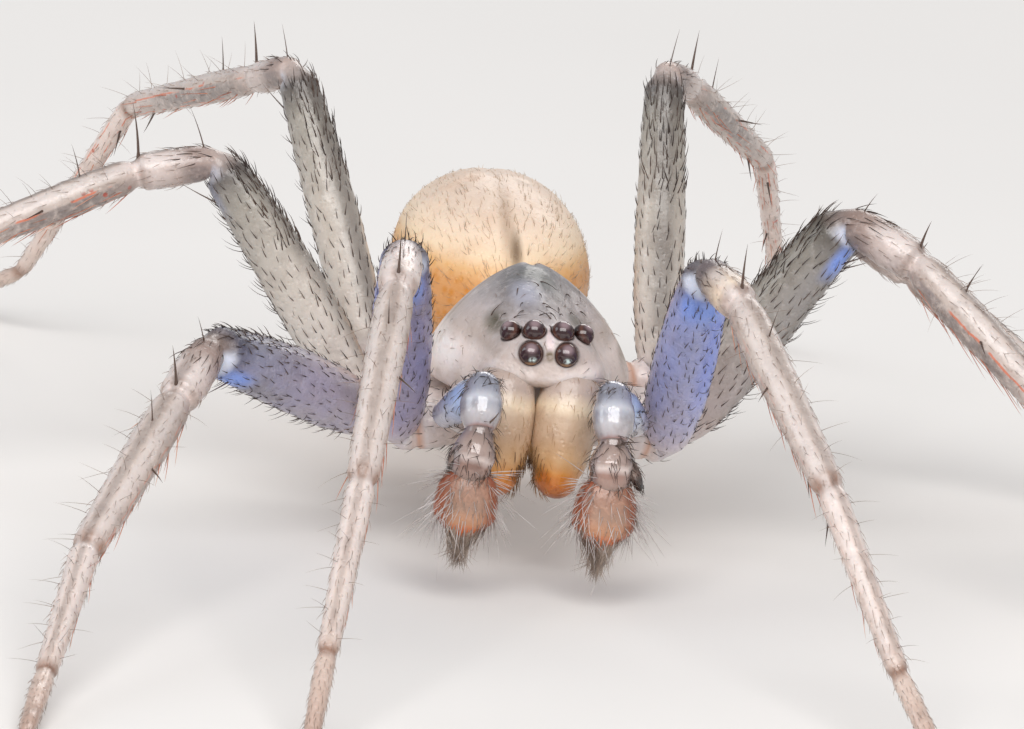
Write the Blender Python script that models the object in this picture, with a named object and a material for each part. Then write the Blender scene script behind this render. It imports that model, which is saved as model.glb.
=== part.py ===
"""A cybaeozyga spider, an adult male, life size, standing on a flat floor.

Every size below is in millimetres. The pieces hang under one empty, which scales them
to metres and sets the middle of the whole spider over the origin. The spider looks
along -Y, +Z is up, and its own right side is at -X.
"""

import math

import bmesh
import bpy
from mathutils import Matrix, Vector

MM = 0.001
GAP = 0.02  # between two pieces that meet face to face
EYE_GAP = 0.01  # between an eye and its socket
WELD = 0.0015  # points nearer than this become one after a cut
SOCKET_WELD = 0.0004  # finer, because the eyes stand close together
UP = Vector((0, 0, 1))

# Carapace: front at -Y, stations run from -1 (front) to 1 (back)
CARAPACE_HALF_LENGTH = 0.775
HEAD_HALF_WIDTH = 0.41
THORAX_HALF_WIDTH = 0.61
HEAD_TOP = 1.53
THORAX_TOP = 1.685
THORAX_DROP = 0.34  # how far the back slopes down behind the highest point
CARAPACE_MARGIN = 1.05  # height of the widest line
CLYPEUS_MIDDLE = 1.26
CARAPACE_FLOOR = 0.94  # its flat underside, over the coxae
CLYPEUS_EDGE = 1.13
HEAD_GABLE = 1.1  # 1 gives the upper side a round section, 2 one like a roof
THORAX_GABLE = 1.35
CARAPACE_SKEW = -0.075  # how far its ridge lies to the spider's right

# Eyes: side distance, forward place, height and radius; the front middle pair is lacking
EYES = {
    "ple": (0.214, -0.615, 1.443, 0.060),
    "pme": (0.084, -0.675, 1.468, 0.062),
    "ale": (0.104, -0.745, 1.352, 0.067),
}

# Sternum and labium, under the body
STERNUM_MIDDLE = Vector((0, -0.02, 0.80))
STERNUM_HALF = Vector((0.33, 0.42, 0.10))
LABIUM_MIDDLE = Vector((0, -0.53, 0.79))
LABIUM_HALF = Vector((0.10, 0.07, 0.06))

# Abdomen, its stalk and the spinnerets
ABDOMEN_MIDDLE = Vector((-0.015, 1.78, 1.20))
ABDOMEN_HALF = Vector((0.595, 0.915, 0.56))
PEDICEL = (Vector((0, 0.62, 1.08)), Vector((-0.01, 1.02, 1.10)))
PEDICEL_RADIUS = 0.085
SPINNERET_ROOT = Vector((-0.03, 2.60, 0.98))
SPINNERET_LENGTH = 0.20
SPINNERET_RADIUS = 0.058

# Chelicerae and fangs
MOUTH_SHIFT = (-0.035, -0.085)  # the mouthparts lean to the spider's right, more at their ends
CHELICERA_TOP = Vector((0.192, -0.67, 1.10))
CHELICERA_END = Vector((0.178, -0.84, 0.63))
CHELICERA_STATIONS = ((0, 0.162), (0.10, 0.178), (0.30, 0.173), (0.43, 0.154), (0.50, 0.12))
FANG_PATH = ((0.17, -0.76, 0.585), (0.13, -0.71, 0.545), (0.08, -0.685, 0.535), (0.04, -0.67, 0.55))
FANG_RADII = (0.040, 0.036, 0.022, 0.008)

# Palps, from the coxa at the mouth to the swollen last segment; the two hang differently
PALP = {
    "r": {
        "coxa": (-0.25, -0.47, 0.80),
        "femur": (-0.56, -0.70, 0.95),
        "patella": (-0.42, -1.10, 1.22),
        "tibia": (-0.445, -1.27, 1.00),
        "cymbium": (-0.485, -1.33, 0.82),
        "tip": (-0.520, -1.42, 0.36),
    },
    "l": {
        "coxa": (0.25, -0.47, 0.80),
        "femur": (0.55, -0.70, 0.95),
        "patella": (0.35, -1.10, 1.20),
        "tibia": (0.345, -1.27, 0.965),
        "cymbium": (0.335, -1.33, 0.80),
        "tip": (0.290, -1.42, 0.33),
    },
}
PALP_COXA_RADII = (0.075, 0.095, 0.085, 0.068)
PALP_FEMUR_RADII = (0.086, 0.108, 0.112, 0.088)
PALP_PATELLA_RADII = (0.102, 0.128, 0.118, 0.078)
PALP_TIBIA_RADII = (0.085, 0.115, 0.135, 0.115)
CYMBIUM_HALF = (0.188, 0.118)  # half its width and half its depth
BULB_HALF = Vector((0.125, 0.10, 0.165))
BULB_OFFSET = 0.125  # behind the middle of the cymbium
APOPHYSIS_LENGTH = 0.20
APOPHYSIS_RADIUS = 0.050
APOPHYSIS_LEAN = {"r": 0.35, "l": 0.75}

# Legs: where each coxa starts beside the sternum and where its trochanter ends
COXA_START = {
    1: (0.40, -0.37, 0.82),
    2: (0.43, -0.08, 0.82),
    3: (0.41, 0.21, 0.82),
    4: (0.29, 0.47, 0.82),
}
HIP = {
    1: (0.80, -0.35, 0.74),
    2: (0.93, -0.06, 0.74),
    3: (0.95, 0.25, 0.74),
    4: (0.86, 0.58, 0.88),
}
# Lengths of femur, patella, tibia, metatarsus and tarsus
LENGTHS = {
    1: (1.72, 0.52, 1.45, 1.25, 0.85),
    2: (1.66, 0.52, 1.40, 1.20, 0.80),
    3: (1.66, 0.50, 1.30, 1.25, 0.75),
    4: (1.83, 0.54, 1.65, 1.60, 0.90),
}
# Thickness of each pair of legs against the first
STOUTNESS = {1: 1.0, 2: 1.05, 3: 0.95, 4: 0.82}
# Yaw from straight ahead towards the leg's own side, and pitch above level, in degrees,
# of femur, patella, tibia and metatarsus, then the yaw of the tarsus, which reaches down
POSE = {
    ("r", 1): ((10, 52), (11, -11), (13, -35), (14, -35), 13),
    ("r", 2): ((46, 23), (29, -24), (27, -25), (15, -20), 13),
    ("r", 3): ((109, 54), (90, -12), (86, -24), (82, -52), 81),
    ("r", 4): ((145, 61), (160, -20), (158, -20), (147, -54), 146),
    ("l", 1): ((-1, 51), (15, -7), (19, -31), (20, -40), 20),
    ("l", 2): ((71, 58), (55, -20), (47, -33), (39, -48), 37),
    ("l", 3): ((126, 37), (94, -31), (82, -35), (72, -29), 69),
    ("l", 4): ((181, 70), (152, -20), (151, -27), (162, -44), 178),
}
# Radii of leg I at shares of each length; every base is a ball that its parent cups
COXA_PROFILE = ((0, 0.115), (0.2, 0.130), (0.6, 0.134), (0.74, 0.122), (0.85, 0.124), (1, 0.112))
FEMUR_PROFILE = (
    (0, 0.118), (0.10, 0.154), (0.26, 0.182), (0.5, 0.185), (0.75, 0.166), (0.92, 0.142), (1, 0.122),
)
PATELLA_PROFILE = ((0, 0.122), (0.22, 0.126), (0.55, 0.130), (0.85, 0.116))
TIBIA_PROFILE = ((0, 0.108), (0.10, 0.118), (0.35, 0.120), (0.7, 0.104), (1, 0.086))
METATARSUS_PROFILE = ((0, 0.084), (0.08, 0.082), (0.45, 0.074), (0.85, 0.062))
TARSUS_PROFILE = ((0, 0.055), (0.3, 0.056), (0.7, 0.047), (0.93, 0.038), (1, 0.030))
FEMUR_ARCH = 0.02  # how far the middle of a femur bows upwards
FOOT_HEIGHT = 0.018  # of the last round of a foot over the floor, so that it stands on a flat
ARCH_SHARES = (0.25, 0.5, 0.75)
DOME = (70, 42, 18)  # degrees at which the rings of a rounded end lie

# Spines as rows of (share of the segment, degrees round it from the top, length, lean),
# where the lean in degrees is from upright towards the foot
FEMUR_SPINES = ((0.86, 165, 0.25, 52),)
PATELLA_SPINES = ((0.16, 0, 0.24, 8), (0.90, 0, 0.31, 20))
TIBIA_SPINES = (
    (0.20, 0, 0.22, 20), (0.42, 78, 0.19, 32), (0.35, 165, 0.19, 35), (0.68, 195, 0.18, 35),
    (0.93, 170, 0.14, 35),
)
METATARSUS_SPINES = ((0.14, 155, 0.15, 32), (0.16, 215, 0.15, 32), (0.52, -70, 0.12, 35))
SPINE_RADIUS = 0.016
SPINE_TIP = 0.005

COLOURS = {
    "carapace": (0.56, 0.52, 0.49),
    "abdomen": (0.80, 0.55, 0.33),
    "mouthparts": (0.72, 0.53, 0.36),
    "legs": (0.52, 0.48, 0.47),
    "palps": (0.60, 0.42, 0.33),
    "eyes": (0.03, 0.02, 0.02),
}
ROUGHNESS = {"eyes": 0.08, "abdomen": 0.45}
DEFAULT_ROUGHNESS = 0.35


def clear_scene():
    for obj in list(bpy.data.objects):
        bpy.data.objects.remove(obj, do_unlink=True)


def make_materials():
    made = {}
    for name, colour in COLOURS.items():
        made[name] = bpy.data.materials.new(name)
        made[name].use_nodes = True
        shader = made[name].node_tree.nodes["Principled BSDF"]
        shader.inputs["Base Color"].default_value = (*colour, 1)
        shader.inputs["Roughness"].default_value = ROUGHNESS.get(name, DEFAULT_ROUGHNESS)
        shader.inputs["Metallic"].default_value = 0.0
    return made


clear_scene()
MATERIALS = make_materials()
PARTS = bpy.data.collections.new("spider_parts")
bpy.context.scene.collection.children.link(PARTS)
ROOT = bpy.data.objects.new("spider", None)
ROOT.scale = (MM, MM, MM)
PARTS.objects.link(ROOT)


def smooth(low, high, x):
    t = min(max((x - low) / (high - low), 0.0), 1.0)
    return t * t * (3 - 2 * t)


def mix(a, b, t):
    return a + (b - a) * t


def blunt(a, power):
    """Size of a round at station a of a closed body, from 0 at its ends to 1."""
    return max(0.0, 1 - abs(a) ** power) ** (1 / power)


def add_mesh(name, bm, place=(0, 0, 0)):
    bm.normal_update()
    bmesh.ops.recalc_face_normals(bm, faces=bm.faces)
    mesh = bpy.data.meshes.new(name)
    bm.to_mesh(mesh)
    bm.free()
    obj = bpy.data.objects.new(name, mesh)
    obj.location = place
    PARTS.objects.link(obj)
    return obj


def heading(yaw, pitch, side):
    yaw, pitch = math.radians(yaw), math.radians(pitch)
    flat = math.cos(pitch)
    return Vector((side * math.sin(yaw) * flat, -math.cos(yaw) * flat, math.sin(pitch)))


def along(path, distance):
    """The point at a distance along a path of points; a negative one lies before its start."""
    for start, end in zip(path, path[1:]):
        step = (end - start).length
        if distance <= step or end is path[-1]:
            return start + (end - start) / step * distance
        distance -= step


def tube(name, stations, path, grow=0.0, round_start=True, round_end=True, resolution=2):
    """A closed tube along a path; stations are (distance, radius), grow widens it all round."""
    rings = [(distance, radius + grow) for distance, radius in stations]
    first, last = rings[0], rings[-1]
    if round_start:
        angles = [math.radians(a) for a in DOME]
        rings = [(first[0] - first[1] * math.sin(a), first[1] * math.cos(a)) for a in angles] + rings
    if round_end:
        angles = [math.radians(a) for a in reversed(DOME)]
        rings += [(last[0] + last[1] * math.sin(a), last[1] * math.cos(a)) for a in angles]
    curve = bpy.data.curves.new(name, "CURVE")
    curve.dimensions = "3D"
    curve.bevel_depth = 1.0
    curve.bevel_resolution = resolution
    curve.use_fill_caps = True
    spline = curve.splines.new("POLY")
    spline.points.add(len(rings) - 1)
    for point, (distance, radius) in zip(spline.points, rings):
        point.co = (*(along(path, distance) - path[0]), 1.0)
        point.radius = radius
    drawn = bpy.data.objects.new(name, curve)
    PARTS.objects.link(drawn)
    bpy.context.view_layer.update()
    mesh = bpy.data.meshes.new_from_object(drawn.evaluated_get(bpy.context.evaluated_depsgraph_get()))
    bpy.data.objects.remove(drawn, do_unlink=True)
    bm = bmesh.new()
    bm.from_mesh(mesh)
    bpy.data.meshes.remove(mesh)
    bmesh.ops.remove_doubles(bm, verts=bm.verts, dist=WELD)
    return add_mesh(name, bm, path[0])


def even(radii, length):
    """Stations spread evenly over a length."""
    return [(length * i / (len(radii) - 1), radius) for i, radius in enumerate(radii)]


def ball(name, middle, half, segments=10, rings=8):
    """An ellipsoid with its poles along Y."""
    bm = bmesh.new()
    bmesh.ops.create_uvsphere(bm, u_segments=segments, v_segments=rings, radius=1.0)
    bmesh.ops.transform(bm, matrix=Matrix.Rotation(math.pi / 2, 4, "X"), verts=bm.verts)
    bmesh.ops.scale(bm, vec=half, verts=bm.verts)
    return add_mesh(name, bm, middle)


def lofted(name, segments, rings, section):
    """A closed body from a sphere: section(station, cosine, sine) gives each point."""
    bm = bmesh.new()
    bmesh.ops.create_uvsphere(bm, u_segments=segments, v_segments=rings, radius=1.0)
    for vert in bm.verts:
        ring = math.hypot(vert.co.x, vert.co.y)
        cosine, sine = (vert.co.x / ring, vert.co.y / ring) if ring > 1e-5 else (0.0, 0.0)
        vert.co = section(vert.co.z, cosine, sine)
    return add_mesh(name, bm)


def spike(name, root, direction, length, radius, tip=0.006, sides=4):
    """A tapered spine from a root sunk in the surface."""
    bm = bmesh.new()
    bmesh.ops.create_cone(
        bm, cap_ends=True, segments=sides, radius1=radius, radius2=tip, depth=length,
        matrix=Matrix.Translation((0, 0, length / 2)),
    )
    turn = direction.to_track_quat("Z", "Y").to_matrix().to_4x4()
    bmesh.ops.transform(bm, matrix=turn, verts=bm.verts)
    return add_mesh(name, bm, root)


def largest_surface(bm):
    """Deletes every loose shell but the one of the largest volume."""
    shells, seen = [], set()
    for face in bm.faces:
        if face in seen:
            continue
        shell, queue = [], [face]
        seen.add(face)
        while queue:
            current = queue.pop()
            shell.append(current)
            for edge in current.edges:
                for other in edge.link_faces:
                    if other not in seen:
                        seen.add(other)
                        queue.append(other)
        volume = sum(f.verts[0].co.dot(f.verts[1].co.cross(f.verts[2].co)) for f in shell) / 6
        shells.append((abs(volume), shell))
    shells.sort(key=lambda pair: pair[0], reverse=True)
    for _, shell in shells[1:]:
        bmesh.ops.delete(bm, geom=shell, context="FACES")
    bmesh.ops.delete(bm, geom=[v for v in bm.verts if not v.link_faces], context="VERTS")


def drop_folds(bm):
    """Deletes faces that lie back to back on the same corners."""
    groups = {}
    for face in bm.faces:
        groups.setdefault(frozenset(face.verts), []).append(face)
    folded = [face for group in groups.values() if len(group) > 1 for face in group]
    bmesh.ops.delete(bm, geom=folded, context="FACES")


def combine(target, operation, pieces, weld=WELD):
    """Applies one Boolean of all the pieces to the target, then removes the pieces."""
    group = bpy.data.collections.new("pieces")
    bpy.context.scene.collection.children.link(group)
    for piece in pieces:
        PARTS.objects.unlink(piece)
        group.objects.link(piece)
    modifier = target.modifiers.new("combine", "BOOLEAN")
    modifier.operation = operation
    modifier.operand_type = "COLLECTION"
    modifier.collection = group
    modifier.solver = "EXACT"
    bpy.context.view_layer.update()
    depsgraph = bpy.context.evaluated_depsgraph_get()
    bm = bmesh.new()
    bm.from_object(target, depsgraph)
    target.modifiers.remove(modifier)
    for piece in list(group.objects):
        bpy.data.objects.remove(piece, do_unlink=True)
    bpy.data.collections.remove(group)
    bmesh.ops.triangulate(bm, faces=bm.faces)
    bmesh.ops.remove_doubles(bm, verts=bm.verts, dist=weld)
    bmesh.ops.dissolve_degenerate(bm, edges=bm.edges, dist=weld)
    bmesh.ops.triangulate(bm, faces=bm.faces)
    drop_folds(bm)
    largest_surface(bm)
    bm.to_mesh(target.data)
    bm.free()


def finish(obj, colour):
    """Gives a piece its material and hangs it under the root."""
    obj.data.materials.clear()
    obj.data.materials.append(MATERIALS[colour])
    obj.parent = ROOT
    obj.data.shade_smooth()
    obj.data.set_sharp_from_angle(angle=math.radians(40))


def carapace_body(name, grow=0.0):
    def section(a, cosine, sine):
        size = blunt(a, mix(4.0, 2.3, smooth(-0.5, 0.3, a)))
        width = mix(HEAD_HALF_WIDTH, THORAX_HALF_WIDTH, smooth(-0.75, 0.0, a))
        middle = mix(CLYPEUS_MIDDLE, CARAPACE_MARGIN, smooth(-1.0, -0.4, a))
        top = mix(HEAD_TOP, THORAX_TOP, smooth(-0.9, 0.1, a)) - THORAX_DROP * smooth(0.2, 1.0, a)
        bottom = mix(CLYPEUS_EDGE, CARAPACE_FLOOR, smooth(-0.95, -0.45, a))
        skew = 0.0
        if sine > 0:
            gable = mix(HEAD_GABLE, THORAX_GABLE, smooth(-0.85, -0.3, a))
            rise = (top - middle) * sine ** gable
            cosine = math.copysign(abs(cosine) ** gable, cosine)
            skew = CARAPACE_SKEW * sine * smooth(-0.9, -0.1, a)
        else:
            rise = -(middle - bottom) * abs(sine) ** 0.6
        return Vector((
            (width * size + grow) * cosine + skew * size,
            (CARAPACE_HALF_LENGTH + grow) * a,
            middle + rise * size + grow * sine,
        ))

    return lofted(name, 24, 18, section)


def abdomen_body(name, grow=0.0):
    def section(a, cosine, sine):
        size = blunt(a, 2.15)
        half = ABDOMEN_HALF + Vector((grow, grow, grow))
        swell = 1 + 0.05 * a  # a little fuller behind the middle
        height = ABDOMEN_MIDDLE.z - 0.07 * smooth(0.2, -1.0, a) + 0.02 * a
        return Vector((
            ABDOMEN_MIDDLE.x + half.x * size * swell * cosine,
            ABDOMEN_MIDDLE.y + half.y * a,
            height + half.z * size * sine,
        ))

    return lofted(name, 22, 16, section)


def sternum_body(name, grow=0.0):
    def section(a, cosine, sine):
        size = blunt(a, 2.6)
        half = STERNUM_HALF + Vector((grow, grow, grow))
        taper = mix(1.0, 0.62, smooth(-0.3, 1.0, a))  # a shield, narrow behind
        return STERNUM_MIDDLE + Vector((half.x * size * taper * cosine, half.y * a, half.z * size * sine))

    return lofted(name, 16, 8, section)


def mouth_path(points, side):
    path = []
    for x, y, z in points:
        share = (CHELICERA_TOP.z - z) / (CHELICERA_TOP.z - CHELICERA_END.z)
        path.append(Vector((side * x + mix(*MOUTH_SHIFT, share), y, z)))
    return path


def chelicera_body(name, side, grow=0.0):
    path = mouth_path((CHELICERA_TOP, CHELICERA_END), side)
    return tube(name, CHELICERA_STATIONS, path, grow)


def fang_body(name, side, grow=0.0):
    path = mouth_path(FANG_PATH, side)
    steps = [0.0]
    for start, end in zip(path, path[1:]):
        steps.append(steps[-1] + (end - start).length)
    return tube(name, list(zip(steps, FANG_RADII)), path, grow, resolution=1)


def palp_limb(name, key, start, end, radii, grow=0.0):
    path = [Vector(PALP[key][start]), Vector(PALP[key][end])]
    return tube(name, even(radii, (path[1] - path[0]).length), path, grow, round_end=False)


def palp_frame(key):
    """Middle, length and axes of the last palp segment: down its length, across and outward."""
    start, tip = Vector(PALP[key]["cymbium"]), Vector(PALP[key]["tip"])
    down = (tip - start).normalized()
    across = down.cross(Vector((0, -1, 0))).normalized()
    outward = across.cross(down)
    return start, (tip - start).length, down, across, outward


def cymbium_body(name, key, grow=0.0):
    start, length, down, across, outward = palp_frame(key)

    def section(a, cosine, sine):
        size = blunt(a, 2.3)
        share = (a + 1) / 2
        narrow = mix(1.0, 0.66, smooth(0.35, 1.0, share))  # it narrows to the tip
        width = (CYMBIUM_HALF[0] * narrow * size + grow) * cosine
        depth = (CYMBIUM_HALF[1] * narrow * size + grow) * sine
        return start + down * (length * share + grow * a) + across * width + outward * depth

    return lofted(name, 12, 10, section)


def bulb_body(name, key):
    start, length, down, across, outward = palp_frame(key)
    middle = start + down * length * 0.45 - outward * BULB_OFFSET
    return ball(name, middle, BULB_HALF, 10, 8)


def leg_joints(key, pair):
    """The joints of one leg from its hip to its foot, in millimetres."""
    side = -1 if key == "r" else 1
    place = Vector((side * HIP[pair][0], HIP[pair][1], HIP[pair][2]))
    joints = [place]
    *turns, tarsus_yaw = POSE[key, pair]
    for (yaw, pitch), length in zip(turns, LENGTHS[pair]):
        place = place + heading(yaw, pitch, side) * length
        joints.append(place)
    drop = (FOOT_HEIGHT - place.z) / LENGTHS[pair][-1]
    joints.append(place + heading(tarsus_yaw, math.degrees(math.asin(drop)), side) * LENGTHS[pair][-1])
    return joints


def arched(start, end, arch):
    """A path from start to end, bowed upwards."""
    axis = (end - start).normalized()
    lift = (UP - axis * axis.dot(UP)).normalized()
    middles = [start.lerp(end, s) + lift * arch * math.sin(math.pi * s) for s in ARCH_SHARES]
    return [start, *middles, end]


def stations(profile, length, stout, offset=0.0):
    return [(offset + share * length, radius * stout) for share, radius in profile]


def path_length(path):
    return sum((end - start).length for start, end in zip(path, path[1:]))


def thickness(profile, share):
    """The radius that a profile gives at a share of its length."""
    for (low, first), (high, second) in zip(profile, profile[1:]):
        if share <= high:
            return mix(first, second, (share - low) / (high - low))
    return profile[-1][1]


def spines(start, end, profile, stout, side, rows):
    """Tapered spines round a straight segment, leaning towards its end."""
    axis = (end - start).normalized()
    top = (UP - axis * axis.dot(UP)).normalized()
    flank = axis.cross(top) * side
    cones = []
    for share, turn, length, lean in rows:
        radius = thickness(profile, share) * stout
        turn, lean = math.radians(turn), math.radians(lean)
        outward = top * math.cos(turn) + flank * math.sin(turn)
        aim = outward * math.cos(lean) + axis * math.sin(lean)
        root = start.lerp(end, share) + outward * radius * 0.5
        cones.append(spike("spine", root, aim, length + radius * 0.6, SPINE_RADIUS, SPINE_TIP))
    return cones


def coxa_limb(name, key, pair, grow=0.0):
    side = -1 if key == "r" else 1
    x, y, z = COXA_START[pair]
    path = [Vector((side * x, y, z)), leg_joints(key, pair)[0]]
    stout = mix(1.0, STOUTNESS[pair], 0.3)
    return tube(name, stations(COXA_PROFILE, path_length(path), stout), path, grow, round_end=False)


def femur_limb(name, key, pair, grow=0.0):
    hip, knee = leg_joints(key, pair)[:2]
    path = arched(hip, knee, FEMUR_ARCH)
    profile = stations(FEMUR_PROFILE, path_length(path), STOUTNESS[pair])
    return tube(name, profile, path, grow, round_end=False)


def shin_limb(name, key, pair, grow=0.0):
    """Patella and tibia, one stiff piece that bends at their joint."""
    path = leg_joints(key, pair)[1:4]
    patella, tibia = LENGTHS[pair][1:3]
    profile = stations(PATELLA_PROFILE, patella, STOUTNESS[pair])
    profile += stations(TIBIA_PROFILE, tibia, STOUTNESS[pair], patella)
    return tube(name, profile, path, grow, round_end=False)


def foot_limb(name, key, pair, grow=0.0):
    """Metatarsus and tarsus, down to the floor."""
    path = leg_joints(key, pair)[3:6]
    metatarsus, tarsus = LENGTHS[pair][3:5]
    profile = stations(METATARSUS_PROFILE, metatarsus, STOUTNESS[pair])
    profile += stations(TARSUS_PROFILE, tarsus, STOUTNESS[pair], metatarsus)
    return tube(name, profile, path, grow)


def flat_foot(obj):
    """Cuts a foot flat where it meets the floor."""
    bm = bmesh.new()
    bm.from_mesh(obj.data)
    everything = bm.verts[:] + bm.edges[:] + bm.faces[:]
    floor = Vector((0, 0, -obj.location.z))
    bmesh.ops.bisect_plane(bm, geom=everything, plane_co=floor, plane_no=-UP, clear_outer=True)
    bmesh.ops.holes_fill(bm, edges=[e for e in bm.edges if e.is_boundary])
    bmesh.ops.remove_doubles(bm, verts=bm.verts, dist=WELD)
    bm.normal_update()
    bmesh.ops.recalc_face_normals(bm, faces=bm.faces)
    bm.to_mesh(obj.data)
    bm.free()


def add_spines(femur, shin, foot, key, pair):
    side = -1 if key == "r" else 1
    hip, knee, shin_start, ankle, toe = leg_joints(key, pair)[:5]
    stout = STOUTNESS[pair]
    combine(femur, "UNION", spines(hip, knee, FEMUR_PROFILE, stout, side, FEMUR_SPINES))
    rows = spines(knee, shin_start, PATELLA_PROFILE, stout, side, PATELLA_SPINES)
    rows += spines(shin_start, ankle, TIBIA_PROFILE, stout, side, TIBIA_SPINES)
    combine(shin, "UNION", rows)
    combine(foot, "UNION", spines(ankle, toe, METATARSUS_PROFILE, stout, side, METATARSUS_SPINES))


def make_legs():
    for key, pair in POSE:
        leg = f"leg_{key}{pair}"
        coxa = coxa_limb(f"{leg}_coxa", key, pair)
        femur = femur_limb(f"{leg}_femur", key, pair)
        shin = shin_limb(f"{leg}_tibia", key, pair)
        foot = foot_limb(f"{leg}_tarsus", key, pair)
        add_spines(femur, shin, foot, key, pair)
        body = [carapace_body("cut", GAP), sternum_body("cut", GAP)]
        combine(coxa, "DIFFERENCE", [femur_limb("cut", key, pair, GAP), *body])
        combine(femur, "DIFFERENCE", [shin_limb("cut", key, pair, GAP)])
        combine(shin, "DIFFERENCE", [foot_limb("cut", key, pair, GAP)])
        flat_foot(foot)
        for piece in (coxa, femur, shin, foot):
            finish(piece, "legs")


def make_palps():
    for key in PALP:
        side = -1 if key == "r" else 1
        limbs = (
            ("coxa", "coxa", "femur", PALP_COXA_RADII),
            ("femur", "femur", "patella", PALP_FEMUR_RADII),
            ("patella", "patella", "tibia", PALP_PATELLA_RADII),
            ("tibia", "tibia", "cymbium", PALP_TIBIA_RADII),
        )
        made = {}
        for name, start, end, radii in limbs:
            made[name] = palp_limb(f"palp_{key}_{name}", key, start, end, radii)
        made["cymbium"] = cymbium_body(f"palp_{key}_cymbium", key)
        made["bulb"] = bulb_body(f"palp_{key}_bulb", key)
        _, _, down, across, _ = palp_frame(key)
        apophysis = spike(
            "apophysis", Vector(PALP[key]["cymbium"]) - across * side * 0.07 - down * 0.09,
            down - across * side * APOPHYSIS_LEAN[key], APOPHYSIS_LENGTH, APOPHYSIS_RADIUS, 0.014, 6,
        )
        combine(made["tibia"], "UNION", [apophysis])
        for parent, child in zip(limbs, limbs[1:]):
            combine(made[parent[0]], "DIFFERENCE", [palp_limb("cut", key, *child[1:], GAP)])
        combine(made["tibia"], "DIFFERENCE", [cymbium_body("cut", key, GAP)])
        combine(made["bulb"], "DIFFERENCE", [cymbium_body("cut", key, GAP)])
        neighbours = [
            chelicera_body("cut", side, GAP), coxa_limb("cut", key, 1, GAP), sternum_body("cut", GAP),
            carapace_body("cut", GAP), ball("cut", LABIUM_MIDDLE, LABIUM_HALF + Vector((GAP, GAP, GAP))),
        ]
        combine(made["coxa"], "DIFFERENCE", neighbours)
        for piece in made.values():
            finish(piece, "palps")


def make_mouth():
    for key, side in (("r", -1), ("l", 1)):
        chelicera = chelicera_body(f"chelicera_{key}", side)
        fang = fang_body(f"fang_{key}", side)
        combine(chelicera, "DIFFERENCE", [carapace_body("cut", GAP), fang_body("cut", side, GAP)])
        finish(chelicera, "mouthparts")
        finish(fang, "mouthparts")
    labium = ball("labium", LABIUM_MIDDLE, LABIUM_HALF)
    combine(labium, "DIFFERENCE", [sternum_body("cut", GAP)])
    finish(labium, "mouthparts")


def make_eyes():
    """Six eyes in two groups of three; returns the cutters of their sockets."""
    cutters = []
    for name, (x, y, z, radius) in EYES.items():
        for key, side in (("r", -1), ("l", 1)):
            place = Vector((side * x, y, z))
            finish(ball(f"eye_{key}_{name}", place, Vector((radius, radius, radius))), "eyes")
            wide = radius + EYE_GAP
            cutters.append(ball("cut", place, Vector((wide, wide, wide))))
    return cutters


def make_body():
    carapace = carapace_body("carapace")
    combine(carapace, "DIFFERENCE", make_eyes(), SOCKET_WELD)
    abdomen = abdomen_body("abdomen")
    sternum = sternum_body("sternum")
    combine(sternum, "DIFFERENCE", [carapace_body("cut", GAP)])
    path = list(PEDICEL)
    pedicel = tube("pedicel", even((PEDICEL_RADIUS,) * 3, path_length(path)), path)
    combine(pedicel, "DIFFERENCE", [carapace_body("cut", GAP), abdomen_body("cut", GAP)])
    finish(carapace, "carapace")
    finish(abdomen, "abdomen")
    finish(sternum, "carapace")
    finish(pedicel, "carapace")


def make_spinnerets():
    """Three pairs of short cones on a low round base at the tail."""
    base = ball("spinnerets", SPINNERET_ROOT, Vector((0.13, 0.10, 0.11)))
    cones = []
    for side in (-1, 1):
        for across, rise, share in ((0.045, -0.045, 1.0), (0.075, 0.02, 0.8), (0.035, 0.06, 0.75)):
            root = SPINNERET_ROOT + Vector((side * across, -0.02, rise))
            aim = Vector((side * 0.25, 1.0, -0.45 + rise * 4)).normalized()
            length, radius = SPINNERET_LENGTH * share, SPINNERET_RADIUS * share
            cones.append(spike("cone", root, aim, length, radius, radius * 0.45, 8))
    combine(base, "UNION", cones)
    combine(base, "DIFFERENCE", [abdomen_body("cut", GAP)])
    finish(base, "abdomen")


def centre_on_origin():
    """Moves the root so that the box of all the pieces stands over the origin."""
    bpy.context.view_layer.update()
    pieces = [o for o in PARTS.objects if o.type == "MESH"]
    points = [o.location + v.co for o in pieces for v in o.data.vertices]
    low = [min(p[i] for p in points) for i in range(3)]
    high = [max(p[i] for p in points) for i in range(3)]
    ROOT.location = (-MM * (low[0] + high[0]) / 2, -MM * (low[1] + high[1]) / 2, -MM * low[2])


make_body()
make_spinnerets()
make_mouth()
make_palps()
make_legs()
centre_on_origin()
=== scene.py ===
"""The looks of a cybaeozyga spider, an adult male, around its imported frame.

Shapes are worked out in millimetres in the spider's own measure, where it looks along -Y,
+Z is up and its own right side is at -X. placed() turns them into metres of the row frame.
"""

import math

import bpy
import numpy as np
from mathutils import Matrix, Vector


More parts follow.
